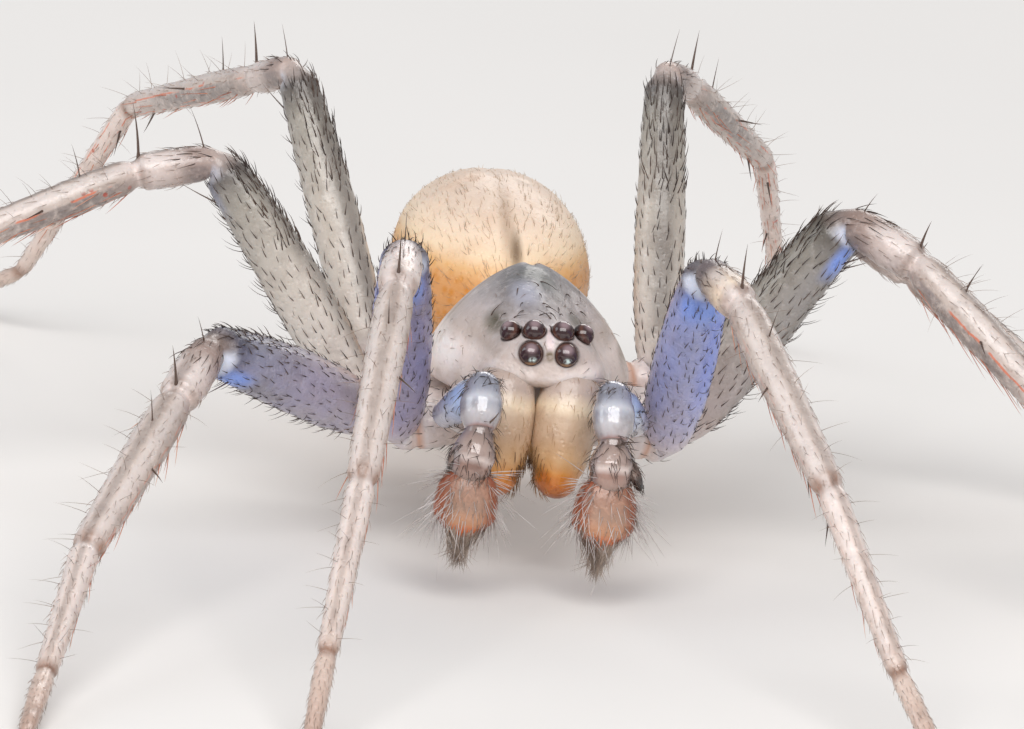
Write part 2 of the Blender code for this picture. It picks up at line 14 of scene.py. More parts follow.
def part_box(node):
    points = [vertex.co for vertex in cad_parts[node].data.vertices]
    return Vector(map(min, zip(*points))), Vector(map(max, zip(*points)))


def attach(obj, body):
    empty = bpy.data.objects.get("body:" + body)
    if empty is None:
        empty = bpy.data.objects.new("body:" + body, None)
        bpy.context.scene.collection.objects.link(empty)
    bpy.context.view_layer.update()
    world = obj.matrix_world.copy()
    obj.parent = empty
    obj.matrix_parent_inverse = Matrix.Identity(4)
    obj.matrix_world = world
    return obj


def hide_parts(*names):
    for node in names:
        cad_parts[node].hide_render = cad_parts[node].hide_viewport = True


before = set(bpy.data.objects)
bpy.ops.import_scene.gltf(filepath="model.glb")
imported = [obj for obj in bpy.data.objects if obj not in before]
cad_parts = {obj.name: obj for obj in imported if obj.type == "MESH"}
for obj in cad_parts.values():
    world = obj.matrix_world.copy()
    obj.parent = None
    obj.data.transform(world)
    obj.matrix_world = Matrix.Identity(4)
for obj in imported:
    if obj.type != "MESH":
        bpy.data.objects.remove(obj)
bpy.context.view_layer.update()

MM = 0.001
RANDOM = np.random.default_rng(20)
UP = np.array((0.0, 0.0, 1.0))
FORWARD = np.array((0.0, -1.0, 0.0))
TURN = 2 * math.pi
SIDES = {"r": -1, "l": 1}

# Body
CARAPACE_HALF_LENGTH = 0.775
HEAD_HALF_WIDTH = 0.41
THORAX_HALF_WIDTH = 0.61
HEAD_TOP = 1.53
THORAX_TOP = 1.685
THORAX_DROP = 0.34
CARAPACE_MARGIN = 1.05
CLYPEUS_MIDDLE = 1.26
CARAPACE_FLOOR = 0.94
CLYPEUS_EDGE = 1.13
HEAD_GABLE = 1.1
THORAX_GABLE = 1.35
CARAPACE_SKEW = -0.075
FOVEA = (-0.01, 0.20, 1.66)
RAYS = 4.5  # half as many as the furrows that a full turn round the fovea would have
EYES = {
    "ple": (0.214, -0.615, 1.443, 0.060),
    "pme": (0.084, -0.675, 1.468, 0.062),
    "ale": (0.104, -0.745, 1.352, 0.067),
}
EYE_AIMS = {"ple": (0.75, -0.45, 0.50), "pme": (0.10, -0.80, 0.60), "ale": (0.10, -1.0, 0.12)}
ALL_EYES = [
    (key, side, kind, np.array((side * x, y, z)), radius)
    for kind, (x, y, z, radius) in EYES.items() for key, side in SIDES.items()
]
STERNUM_MIDDLE = np.array((0, -0.02, 0.80))
STERNUM_HALF = np.array((0.33, 0.42, 0.10))
LABIUM_MIDDLE = np.array((0, -0.53, 0.79))
LABIUM_HALF = np.array((0.10, 0.07, 0.06))
ABDOMEN_MIDDLE = np.array((-0.015, 1.78, 1.20))
ABDOMEN_HALF = np.array((0.595, 0.915, 0.56))
ABDOMEN_POWER = 2.15
PEDICEL = ((0, 0.60, 1.08), (-0.01, 1.04, 1.10))
PEDICEL_RADII = (0.085, 0.078, 0.085, 0.076, 0.085, 0.085)
SPINNERET_ROOT = np.array((-0.03, 2.60, 0.98))
SPINNERET_LENGTH = 0.20
SPINNERET_RADIUS = 0.058

# Mouth
MOUTH_SHIFT = (-0.035, -0.085)
CHELICERA_TOP = (0.192, -0.67, 1.10)
CHELICERA_END = (0.178, -0.84, 0.63)
CHELICERA_STATIONS = ((0, 0.176), (0.10, 0.190), (0.30, 0.186), (0.43, 0.164), (0.50, 0.126))
FANG_PATH = ((0.17, -0.76, 0.59), (0.14, -0.71, 0.56), (0.115, -0.685, 0.555), (0.09, -0.66, 0.57))
FANG_RADII = (0.040, 0.036, 0.022, 0.008)

# Palps: where each part starts, and the tip of the cymbium
PALP_TUBES = ("coxa", "femur", "patella", "tibia")
PALP = {
    "r": {
        "coxa": (-0.25, -0.47, 0.80), "femur": (-0.56, -0.70, 0.95), "patella": (-0.42, -1.10, 1.22),
        "tibia": (-0.445, -1.27, 1.00), "cymbium": (-0.485, -1.33, 0.82), "tip": (-0.520, -1.42, 0.36),
    },
    "l": {
        "coxa": (0.25, -0.47, 0.80), "femur": (0.55, -0.70, 0.95), "patella": (0.35, -1.10, 1.20),
        "tibia": (0.345, -1.27, 0.965), "cymbium": (0.335, -1.33, 0.80), "tip": (0.290, -1.42, 0.33),
    },
}
PALP_RADII = {
    "coxa": (0.075, 0.095, 0.085, 0.068),
    "femur": (0.086, 0.108, 0.112, 0.088),
    "patella": (0.102, 0.128, 0.118, 0.078),
    "tibia": (0.085, 0.115, 0.135, 0.115),
}
PALP_COLLAR = 1.04
CYMBIUM_HALF = (0.188, 0.118)
CYMBIUM_POWER = 2.3
BULB_HALF = np.array((0.125, 0.10, 0.165))
BULB_OFFSET = 0.125
APOPHYSIS_LENGTH = 0.20
APOPHYSIS_RADIUS = 0.050
APOPHYSIS_LEAN = {"r": 0.15, "l": 0.75}

# Legs
COXA_START = {1: (0.40, -0.37, 0.82), 2: (0.43, -0.08, 0.82), 3: (0.41, 0.21, 0.82), 4: (0.29, 0.47, 0.82)}
HIP = {1: (0.80, -0.35, 0.74), 2: (0.93, -0.06, 0.74), 3: (0.95, 0.25, 0.74), 4: (0.86, 0.58, 0.88)}
LENGTHS = {
    1: (1.72, 0.52, 1.45, 1.25, 0.85),
    2: (1.66, 0.52, 1.40, 1.20, 0.80),
    3: (1.66, 0.50, 1.30, 1.25, 0.75),
    4: (1.83, 0.54, 1.65, 1.60, 0.90),
}
STOUTNESS = {1: 1.0, 2: 1.05, 3: 0.95, 4: 0.82}
# Yaw and pitch of femur, patella, tibia and metatarsus, and the tarsus's yaw
POSE = {
    ("r", 1): ((10, 52), (11, -11), (13, -35), (14, -35), 13),
    ("r", 2): ((46, 23), (29, -24), (27, -25), (15, -20), 13),
    ("r", 3): ((109, 54), (90, -12), (86, -24), (82, -52), 81),
    ("r", 4): ((145, 61), (160, -20), (158, -20), (147, -54), 146),
    ("l", 1): ((-1, 51), (15, -7), (19, -31), (20, -40), 20),
    ("l", 2): ((71, 58), (55, -20), (47, -33), (39, -48), 37),
    ("l", 3): ((126, 37), (94, -31), (82, -35), (72, -29), 69),
    ("l", 4): ((181, 70), (152, -20), (151, -27), (162, -44), 178),
}
FEMUR_ARCH = 0.02
FOOT_HEIGHT = 0.018
SEGMENTS = ("coxa", "femur", "patella", "tibia", "metatarsus", "tarsus")
# Radii at shares of each segment; every segment ends in a collar and starts in a narrow neck
PROFILES = {
    "coxa": (
        (0, 0.115), (0.2, 0.132), (0.58, 0.137), (0.70, 0.132), (0.735, 0.113), (0.77, 0.116),
        (0.82, 0.128), (0.92, 0.126), (0.965, 0.112),
    ),
    "femur": (
        (0, 0.104), (0.02, 0.112), (0.045, 0.132), (0.10, 0.155), (0.26, 0.181), (0.5, 0.184),
        (0.75, 0.166), (0.90, 0.147), (0.945, 0.142), (0.960, 0.134), (0.974, 0.102), (0.995, 0.088),
    ),
    "patella": (
        (0.04, 0.084), (0.09, 0.098), (0.22, 0.112), (0.55, 0.121), (0.86, 0.117), (0.91, 0.111),
        (0.945, 0.088), (0.98, 0.080),
    ),
    "tibia": (
        (0.005, 0.084), (0.03, 0.100), (0.07, 0.108), (0.2, 0.114), (0.35, 0.115), (0.7, 0.102),
        (0.93, 0.093), (0.965, 0.089), (0.978, 0.076),
    ),
    "metatarsus": (
        (0.0, 0.068), (0.02, 0.076), (0.06, 0.083), (0.2, 0.080), (0.45, 0.074), (0.85, 0.064),
        (0.965, 0.061), (0.98, 0.052),
    ),
    "tarsus": (
        (0.0, 0.047), (0.02, 0.052), (0.08, 0.056), (0.3, 0.056), (0.7, 0.047), (0.93, 0.038), (1, 0.030),
    ),
}
RINGS_A_SEGMENT = 46
LEG_SIDES = 32
BEND = 0.15  # length over which the corner of a joint is rounded
DOME = (84, 72, 58, 43, 28, 13)  # degrees at which the rings of a rounded end lie
EASE = 0.030  # length over which a leg's radii are averaged
WAVE_HEIGHT = 0.0016  # slight waves along a leg, and how fast they follow each other
WAVE_RATE = 41

# Spines as rows of (share of the segment, degrees round it from the top, length, lean, thickness)
SPINES = {
    "femur": ((0.86, 165, 0.24, 58, 0.6),),
    "patella": ((0.14, 0, 0.20, 5, 0.45), (0.93, 0, 0.26, -8, 1.0)),
    "tibia": ((0.24, 0, 0.20, -12, 0.5), (0.45, 78, 0.15, 42, 0.8), (0.80, 176, 0.16, 50, 0.8)),
    "metatarsus": ((0.10, 160, 0.14, 50, 0.8), (0.50, 200, 0.12, 50, 0.7)),
}
SPINE_RADIUS = 0.0085
SPINE_SAG = 0.10
SPINE_ROOT = 0.86  # how far out of the leg's axis a spine starts, in radii of the leg
SPINE_STEP = 0.02  # length over which the leg's direction at a spine is measured, each way
SPINE_SHARES = np.array((0, 0.05, 0.10, 0.14, 0.2, 0.32, 0.48, 0.64, 0.8, 0.92, 1.0))
SPINE_WIDTHS = np.array((1.5, 1.5, 1.2, 1.0, 1.0, 0.88, 0.70, 0.51, 0.31, 0.16, 0.05))
# Share of the usual length that the spines on a knee have: pair, side
KNEE_SPINE_SCALE = {(2, 1): 0.65, (3, -1): 1.3, (3, 1): 0.4}

# Camera, as the photograph was taken
AZIMUTH = -8.5
ELEVATION = 15.0
ROLL = 5.0
DISTANCE = 65.0
PIXELS_A_MM = 171.0
AIM = np.array((0.0, -0.68, 1.42))
AIM_PIXEL = (548.0, 340.0)
PICTURE = (1024, 729)
SENSOR = 36.0

# Studio: name of each light, its place and size in millimetres, power and colour
LIGHTS = (
    ("softbox_top", (-8, -50, 52), (80, 40), 0.050, (1.0, 0.975, 0.96)),
    ("softbox_left", (-70, 0, 34), (40, 40), 0.010, (0.88, 0.94, 1.0)),
    ("softbox_back", (25, 66, 42), (60, 34), 0.020, (1.0, 0.97, 0.94)),
)
LIGHT_AIM = (0, 0, 1.2)
SKY_COLOUR = (0.93, 0.95, 1.0, 1)
SKY_STRENGTH = 0.36
FLOOR_RADIUS = 0.45  # metres
FLOOR_SIDES = 60


def find_shift():
    """Where the spider's own zero point lies in the row frame, from one of its eyes."""
    low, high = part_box("eye_l_pme")
    middle = (np.array(low) + np.array(high)) / 2
    return middle - np.array(EYES["pme"][:3]) * MM


SHIFT = find_shift()


def placed(points):
    return np.asarray(points, dtype=float) * MM + SHIFT


def unit(vectors):
    vectors = np.asarray(vectors, dtype=float)
    return vectors / np.maximum(np.linalg.norm(vectors, axis=-1, keepdims=True), 1e-12)


def smooth(low, high, x):
    t = np.clip((np.asarray(x, dtype=float) - low) / (high - low), 0.0, 1.0)
    return t * t * (3 - 2 * t)


def mix(a, b, t):
    return a + (b - a) * t


def blunt(a, power):
    return np.maximum(0.0, 1 - np.abs(a) ** power) ** (1 / power)


def bell(x, width):
    return np.exp(-(x / width) ** 2)


def added(name, data):
    """A new object in the scene."""
    made = bpy.data.objects.new(name, data)
    bpy.context.scene.collection.objects.link(made)
    return made


class Skin:
    """A closed loft: rings of points from one end to the other, capped by a point at each."""

    def __init__(self, rings, heights=None, mirrored=False):
        self.rings = rings
        self.heights = np.linspace(0, 1, len(rings)) if heights is None else np.asarray(heights)
        self.mirrored = mirrored
        self.update()

    def update(self):
        along = np.gradient(self.rings, axis=0)
        around = np.roll(self.rings, -1, axis=1) - np.roll(self.rings, 1, axis=1)
        self.normals = unit(np.cross(around, along))
        self.along = unit(along)

    def push(self, amount):
        """Moves every point of the rings out along the normals."""
        self.rings = self.rings + self.normals * amount[..., None]
        self.update()
        return self

    def blend(self, values, ring, side):
        count, sides = self.rings.shape[:2]
        i = np.clip(np.floor(ring).astype(int), 0, count - 2)
        f = (ring - i)[:, None]
        j = np.floor(side).astype(int) % sides
        g = (side - np.floor(side))[:, None]
        k = (j + 1) % sides
        low = values[i, j] * (1 - g) + values[i, k] * g
        high = values[i + 1, j] * (1 - g) + values[i + 1, k] * g
        return low * (1 - f) + high * f

    def at(self, ring, side):
        """Points, normals and directions towards the far end, at fractions of rings and sides."""
        normals, along = (unit(self.blend(values, ring, side)) for values in (self.normals, self.along))
        return self.blend(self.rings, ring, side), normals, along

    def unwrapped(self, ring, side):
        u = (side / self.rings.shape[1]) % 1.0
        v = np.interp(ring, np.arange(len(self.heights)), self.heights)
        return np.stack([1 - u if self.mirrored else u, v], 1)

    def ring_at(self, heights):
        return np.interp(heights, self.heights, np.arange(len(self.heights)))

    def nearest(self, places):
        """Ring and side numbers of the points that lie nearest to places."""
        points = self.rings.reshape(-1, 3)
        found = [int(np.argmin(((points - np.array(place)) ** 2).sum(1))) for place in places]
        ring, side = np.divmod(np.array(found), self.rings.shape[1])
        return ring + 0.3, side + 0.3

    def scattered(self, count, keep=None):
        """Random places spread evenly over the area, weighted by keep(points) where it is given."""
        rings = self.rings
        across = np.roll(rings, -1, axis=1) - rings
        area = np.linalg.norm(np.cross(rings[1:] - rings[:-1], across[:-1]), axis=-1)
        if keep is not None:
            area = area * keep(rings[:-1])
        cells = RANDOM.choice(area.size, size=count, p=area.ravel() / area.sum())
        ring = cells // rings.shape[1] + RANDOM.random(count)
        side = cells % rings.shape[1] + RANDOM.random(count)
        return ring, side


def grid_faces(count, sides):
    """Quads of a closed loft and the triangles at its two end points."""
    j = np.arange(sides)
    k = (j + 1) % sides
    i = np.arange(count - 1)[:, None] * sides
    quads = np.stack([i + j, i + k, i + sides + k, i + sides + j], -1)
    first = count * sides
    end = first - sides
    fans = np.concatenate([
        np.stack([np.full(sides, first), k, j], 1),
        np.stack([np.full(sides, first + 1), end + j, end + k], 1),
    ])
    return quads.reshape(-1, 4), fans


def grid_maps(skin, low, high):
    """Unwrapped coordinates of every corner of a loft's quads and end triangles."""
    count, sides = skin.rings.shape[:2]
    v = mix(low, high, skin.heights)
    j = np.arange(sides) / sides
    k = j + 1 / sides
    if skin.mirrored:
        j, k = 1 - j, 1 - k
    corners = np.zeros((count - 1, sides, 4, 2))
    for number, (u, shift) in enumerate(((j, 0), (k, 0), (k, 1), (j, 1))):
        corners[:, :, number, 0] = u[None, :]
        corners[:, :, number, 1] = v[shift:count - 1 + shift, None]
    fans = np.zeros((2, sides, 3, 2))
    fans[:, :, 0, 0] = (j + k) / 2
    fans[0, :, 1, 0], fans[0, :, 2, 0] = k, j
    fans[1, :, 1, 0], fans[1, :, 2, 0] = j, k
    fans[0, :, :, 1] = v[0]
    fans[1, :, :, 1] = v[-1]
    return corners.reshape(-1, 2), fans.reshape(-1, 2)


def new_object(name, points, quads, triangles, material, maps, map_name="skin"):
    """A mesh piece that rides on the root, from points in millimetres."""
    mesh = bpy.data.meshes.new(name)
    corners = np.concatenate([np.ravel(quads), np.ravel(triangles)]).astype(np.int32)
    totals = np.concatenate([np.full(len(quads), 4), np.full(len(triangles), 3)]).astype(np.int32)
    starts = np.concatenate([[0], np.cumsum(totals)[:-1]]).astype(np.int32)
    mesh.vertices.add(len(points))
    mesh.vertices.foreach_set("co", placed(points).astype(np.float32).ravel())
    mesh.loops.add(len(corners))
    mesh.loops.foreach_set("vertex_index", corners)
    mesh.polygons.add(len(totals))
    mesh.polygons.foreach_set("loop_start", starts)
    mesh.polygons.foreach_set("loop_total", totals)
    mesh.uv_layers.new(name=map_name).data.foreach_set("uv", maps.astype(np.float32).ravel())
    mesh.update(calc_edges=True)
    mesh.validate()
    mesh.shade_smooth()
    mesh.materials.append(material)
    obj = added(name, mesh)
    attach(obj, "root")
    return obj


def skin_object(name, skins, material, slot, *nodes):
    """One piece from one or more lofts; each loft takes its own band of the map's height."""
    skins = skins if isinstance(skins, (list, tuple)) else [skins]
    points, quads, fans, quad_maps, fan_maps = [], [], [], [], []
    offset = 0
    for number, skin in enumerate(skins):
        count, sides = skin.rings.shape[:2]
        ends = np.stack([skin.rings[0].mean(0), skin.rings[-1].mean(0)])
        points.append(np.concatenate([skin.rings.reshape(-1, 3), ends]))
        four, three = grid_faces(count, sides)
        quads.append(four + offset)
        fans.append(three + offset)
        corner_map, fan_map = grid_maps(skin, number / len(skins), (number + 1) / len(skins))
        quad_maps.append(corner_map)
        fan_maps.append(fan_map)
        offset += count * sides + 2
    points, quads, fans, maps = (np.concatenate(rows) for rows in (points, quads, fans, quad_maps + fan_maps))
    obj = new_object(name, points, quads, fans, material, maps)
    if nodes:
        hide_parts(*nodes)


def distances_of(points):
    """How far along a chain each of its points lies."""
    steps = np.linalg.norm(np.diff(np.asarray(points, dtype=float), axis=0), axis=1)
    return np.concatenate([[0], np.cumsum(steps)])


def walk(points, distances, window=0.0):
    """Places at distances along a chain of points, with its corners rounded over a window."""
    points = np.asarray(points, dtype=float)
    steps = np.linalg.norm(np.diff(points, axis=0), axis=1)
    knots = distances_of(points)

    def place(d):
        i = np.clip(np.searchsorted(knots, d, "right") - 1, 0, len(steps) - 1)
        return points[i] + (points[i + 1] - points[i]) * ((d - knots[i]) / steps[i])[:, None]

    distances = np.asarray(distances, dtype=float)
    if not window:
        return place(distances)
    return np.mean([place(distances + window * shift) for shift in np.linspace(-0.5, 0.5, 9)], axis=0)


def chain_length(points):
    return float(distances_of(points)[-1])


def rounded(distances, radii, start=True):
    """Stations with a dome after the last and, unless start is False, before the first."""
    angles = [math.radians(a) for a in DOME]
    first, last = (distances[0], radii[0]), (distances[-1], radii[-1])
    distances = [*distances, *(last[0] + last[1] * math.sin(a) for a in reversed(angles))]
    radii = [*radii, *(last[1] * math.cos(a) for a in reversed(angles))]
    if start:
        distances = [first[0] - first[1] * math.sin(a) for a in angles] + distances
        radii = [first[1] * math.cos(a) for a in angles] + radii
    return np.array(distances), np.array(radii)


def sweep(centres, radii, sides, reference=UP, heights=None, mirrored=False):
    """A loft round a line of centres, whose first side faces the reference direction."""
    tangents = unit(np.gradient(centres, axis=0))
    tops = unit(reference - tangents * (tangents @ reference)[:, None])
    flanks = np.cross(tangents, tops)
    sine, cosine = ring_angles(sides)
    ring = tops[:, None] * cosine[..., None] + flanks[:, None] * sine[..., None]
    return Skin(centres[:, None] + ring * np.asarray(radii)[:, None, None], heights, mirrored)


def limb(points, stations, sides=28, steps=30, reference=UP, start=True, window=0.0):
    """A rounded tube along a chain of points, with its radii eased between the stations."""
    marks, sizes = np.array(stations, dtype=float).T
    distances = np.linspace(marks[0], marks[-1], steps)
    radii = eased(distances, marks, sizes, (marks[-1] - marks[0]) * 0.12)
    distances, radii = rounded(distances, radii, start)
    return sweep(walk(points, distances, window), radii, sides, reference)


def eased(x, marks, sizes, window):
    """Values between the marks, averaged over a window so that no corner shows."""
    shifts = np.linspace(-0.5, 0.5, 9) * window
    return np.mean([np.interp(x + shift, marks, sizes) for shift in shifts], axis=0)


def even(radii, length):
    return [(length * i / (len(radii) - 1), radius) for i, radius in enumerate(radii)]


def blunt_stations(half_length, half_width, power, count):
    """Stations from -1 to 1, spaced evenly along the outline of a blunt body, as a column."""
    a = -np.cos(np.linspace(0, math.pi, 4001))
    outline = np.stack([a * half_length, blunt(a, power(a)) * half_width], 1)
    travelled = distances_of(outline)
    return np.interp(np.linspace(0, travelled[-1], count + 2)[1:-1], travelled, a)[:, None]


def ring_angles(sides):
    """Sine and cosine of the turn from the top of each side, as rows."""
    angles = np.arange(sides) / sides * TURN
    return np.sin(angles)[None, :], np.cos(angles)[None, :]


def lump(points, middle, size, height):
    """A rounded rise round a place, by the size of its spread."""
    offset = (points - np.asarray(middle)) / np.asarray(size)
    return height * np.exp(-(offset ** 2).sum(-1))


# Setae

HAIR_SIDES = 3
HAIR_RISE_SPREAD = 6  # degrees
HAIR_LENGTH_SPREAD = (0.82, 1.18)
HAIR_CURL_SPREAD = (0.6, 1.4)
HAIR_ROOT_DEPTH = 1.5  # in radii of the hair
HAIR_TAPER = 0.6
HAIR_LOWEST = 0.001
HAIR_PATCH = 0.003  # size of one hair's own patch on the map


def bristles(name, skin, ring, side, length, radius, material, slot, rise=35, curl=0.35, sway=18,
             lie=None, steps=4):
    """Many curved tapered hairs rooted on a skin, joined as one mesh.

    rise is the angle off the skin at the root, curl how far the tip bends down to it, sway the
    spread of their directions in degrees, and lie a direction to take instead of the skin's own.
    """
    points, normals, along = skin.at(ring, side)
    count = len(points)
    if lie is not None:
        along = np.broadcast_to(lie, along.shape)
    along = unit(along - normals * (along * normals).sum(-1, keepdims=True))
    turn = np.radians(RANDOM.normal(0, sway, count))[:, None]
    along = along * np.cos(turn) + np.cross(normals, along) * np.sin(turn)
    across = np.cross(normals, along)
    angle = np.broadcast_to(rise, (count,)) + RANDOM.normal(0, HAIR_RISE_SPREAD, count)
    angle = np.radians(np.clip(angle, 3, 90))[:, None]
    length = (np.broadcast_to(length, (count,)) * RANDOM.uniform(*HAIR_LENGTH_SPREAD, count))[:, None]
    curl = (np.broadcast_to(curl, (count,)) * RANDOM.uniform(*HAIR_CURL_SPREAD, count))[:, None]
    aim = normals * np.sin(angle) + along * np.cos(angle)
    bend = along * np.sin(angle) - normals * np.cos(angle)
    width = np.broadcast_to(radius, (count,))[:, None]
    roots = points - normals * width * HAIR_ROOT_DEPTH
    rows = []
    for share in np.linspace(0, 1, steps + 1)[:-1]:
        centre = roots + (aim * share + bend * curl * share ** 2) * length
        forward = unit(aim + bend * curl * 2 * share)
        upward = np.cross(forward, across)
        thick = width * (1 - share) ** HAIR_TAPER
        for a in np.arange(HAIR_SIDES) / HAIR_SIDES * TURN:
            rows.append(centre + (across * math.cos(a) + upward * math.sin(a)) * thick)
    rows.append(roots + (aim + bend * curl) * length)
    vertices = np.stack(rows, 1)
    vertices[..., 2] = np.maximum(vertices[..., 2], HAIR_LOWEST)
    each = vertices.shape[1]
    faces, maps = [], []
    for step in range(steps):
        low, high, s, t = step * HAIR_SIDES, (step + 1) * HAIR_SIDES, step / steps, (step + 1) / steps
        for a in range(HAIR_SIDES):
            b, left, right = (a + 1) % HAIR_SIDES, a / HAIR_SIDES, (a + 1) / HAIR_SIDES
            if step < steps - 1:
                faces += [(low + a, low + b, high + b), (low + a, high + b, high + a)]
                maps += [(left, s), (right, s), (right, t), (left, s), (right, t), (left, t)]
            else:
                faces.append((low + a, low + b, each - 1))
                maps += [(left, s), (right, s), ((a + 0.5) / HAIR_SIDES, 1)]
    faces.append((2, 1, 0))
    maps += [(0.6, 0), (0.3, 0), (0, 0)]
    triangles = (np.array(faces)[None] + (np.arange(count) * each)[:, None, None]).reshape(-1, 3)
    patches = np.clip(skin.unwrapped(ring, side), 0, 1 - HAIR_PATCH)[:, None]
    patches = patches + np.array(maps)[None] * HAIR_PATCH
    new_object(name, vertices.reshape(-1, 3), np.zeros((0, 4), int), triangles, material,
               patches.reshape(-1, 2), "OFBake")


def coat(name, skin, count, keep, length, radius, material, slot, **ways):
    """Bristles at random places on a skin."""
    ring, side = skin.scattered(count, keep)
    bristles(name, skin, ring, side, length, radius, material, slot, **ways)


# Materials


class Value:
    """What a node gives out, with the arithmetic of Math nodes."""

    def __init__(self, look, socket):
        self.look = look
        self.socket = socket

    def __add__(self, other):
        return self.look.math("ADD", self, other)

    def __sub__(self, other):
        return self.look.math("SUBTRACT", self, other)

    def __rsub__(self, other):
        return self.look.math("SUBTRACT", other, self)

    def __mul__(self, other):
        return self.look.math("MULTIPLY", self, other)

    def __abs__(self):
        return self.look.math("ABSOLUTE", self)

    def between(self, low, high):
        """0 below low and 1 above high, eased; low may be the larger one."""
        inputs = {"Value": self, "From Min": low, "From Max": high}
        return self.look.value("MapRange", inputs, interpolation_type="SMOOTHSTEP")

    def within(self, low, high, ease):
        """1 from low to high, eased to 0 outside."""
        return self.between(low - ease, low + ease) * self.between(high + ease, high - ease)

    def rescaled(self, low, high):
        return self.look.value("MapRange", {0: self, 3: low, 4: high})


class Look:
    """A node material whose colour is painted on in layers."""

    def __init__(self, name, **settings):
        self.material = bpy.data.materials.new(name)
        self.material.use_nodes = True
        self.tree = self.material.node_tree
        self.shader = self.tree.nodes["Principled BSDF"]
        for socket, value in settings.items():
            self.shader.inputs[socket.replace("_", " ")].default_value = value
        # The place of a point in the spider's own millimetres
        place = self.value("TexCoord", {}, "Object")
        shifted = self.value("VectorMath", {0: place, 1: tuple(SHIFT)}, operation="SUBTRACT")
        self.where = self.value("VectorMath", {0: shifted, "Scale": 1 / MM}, operation="SCALE")
        self.colour = None

    def node(self, kind, inputs, **settings):
        made = self.tree.nodes.new("ShaderNode" + kind)
        for key, value in settings.items():
            setattr(made, key, value)
        for key, value in inputs.items():
            if isinstance(value, Value):
                self.tree.links.new(value.socket, made.inputs[key])
            else:
                made.inputs[key].default_value = value
        return made

    def value(self, kind, inputs, output=0, **settings):
        return Value(self, self.node(kind, inputs, **settings).outputs[output])

    def link(self, socket, value):
        self.tree.links.new(value.socket, self.shader.inputs[socket])

    def parts(self, vector):
        return [Value(self, socket) for socket in self.node("SeparateXYZ", {0: vector}).outputs]

    def skin_map(self):
        """How far round its piece a point lies, and how far along it."""
        return self.parts(self.value("UVMap", {}, uv_map="skin"))[:2]

    def math(self, operation, *values):
        return self.value("Math", dict(enumerate(values)), operation=operation)

    def noise(self, scale, detail=3.0, roughness=0.55, distortion=0.0):
        amounts = {"Scale": scale, "Detail": detail, "Roughness": roughness, "Distortion": distortion}
        return self.value("TexNoise", {"Vector": self.where, **amounts})

    def cells(self, scale):
        return self.value("TexVoronoi", {"Vector": self.where, "Scale": scale}, "Distance")

    def ramp(self, value, stops):
        made = self.node("ValToRGB", {0: value})
        elements = made.color_ramp.elements
        while len(elements) < len(stops):
            elements.new(0.5)
        for element, (place, colour) in zip(elements, stops):
            element.position = place
            element.color = colour
        return Value(self, made.outputs[0])

    def mixed(self, share, first, second, mode="MIX"):
        return self.value("Mix", {0: share, 6: first, 7: second}, 2, data_type="RGBA", blend_type=mode)

    def paint(self, share, *colour):
        """Covers a share of the colour by another one, given by its screen values."""
        self.colour = self.mixed(share, self.colour, tone(*colour))

    def tint(self, share, colour, mode="MULTIPLY"):
        """Covers a share of the colour by its product with another one, or by their sum."""
        self.colour = self.mixed(share, self.colour, self.mixed(1.0, self.colour, colour, mode))

    def spot(self, middle, half, low):
        """1 inside an oval round a place, eased to 0 outside it."""
        away = self.value("VectorMath", {0: self.where, 1: tuple(middle)}, operation="SUBTRACT")
        scaled = self.value("VectorMath", {0: away, 1: tuple(half)}, operation="DIVIDE")
        return self.value("VectorMath", {0: scaled}, "Value", operation="LENGTH").between(1.0, low)

    def bump(self, height, distance, **under):
        return self.value("Bump", {"Height": height, "Distance": distance, **under})

    def cuticle(self, low, high, relief=0.0000028):
        """The finished material, with fine wrinkles and pits and a roughness from low to high."""
        normal = self.bump(self.noise(12.0, 3.0, 0.6), relief * 1.6)
        normal = self.bump(self.noise(34.0, 4.0, 0.6), relief, Normal=normal)
        normal = self.bump(self.cells(26.0).between(0.10, 0.35), relief * 0.8, Normal=normal)
        self.link("Normal", normal)
        return self.finished(self.noise(9.0, 3.0).between(0.2, 0.8).rescaled(low, high))

    def finished(self, roughness=None):
        self.link("Base Color", self.colour)
        if roughness is not None:
            self.link("Roughness", roughness)
        return self.material


CUTICLE = {
    "Subsurface_Weight": 0.35, "Subsurface_Scale": 0.00006, "Subsurface_Radius": (1.0, 0.75, 0.6),
    "IOR": 1.5, "Coat_Weight": 0.3, "Coat_Roughness": 0.12,
}


def tone(red, green, blue):
    """A colour from its screen values, 0 to 255."""
    return (*((c / 255) ** 2.2 for c in (red, green, blue)), 1)


def tones(*rows, full=1.0):
    """Stops of a ramp, from rows of a place, up to full, and a colour's screen values."""
    return [(place / full, tone(*colour)) for place, *colour in rows]


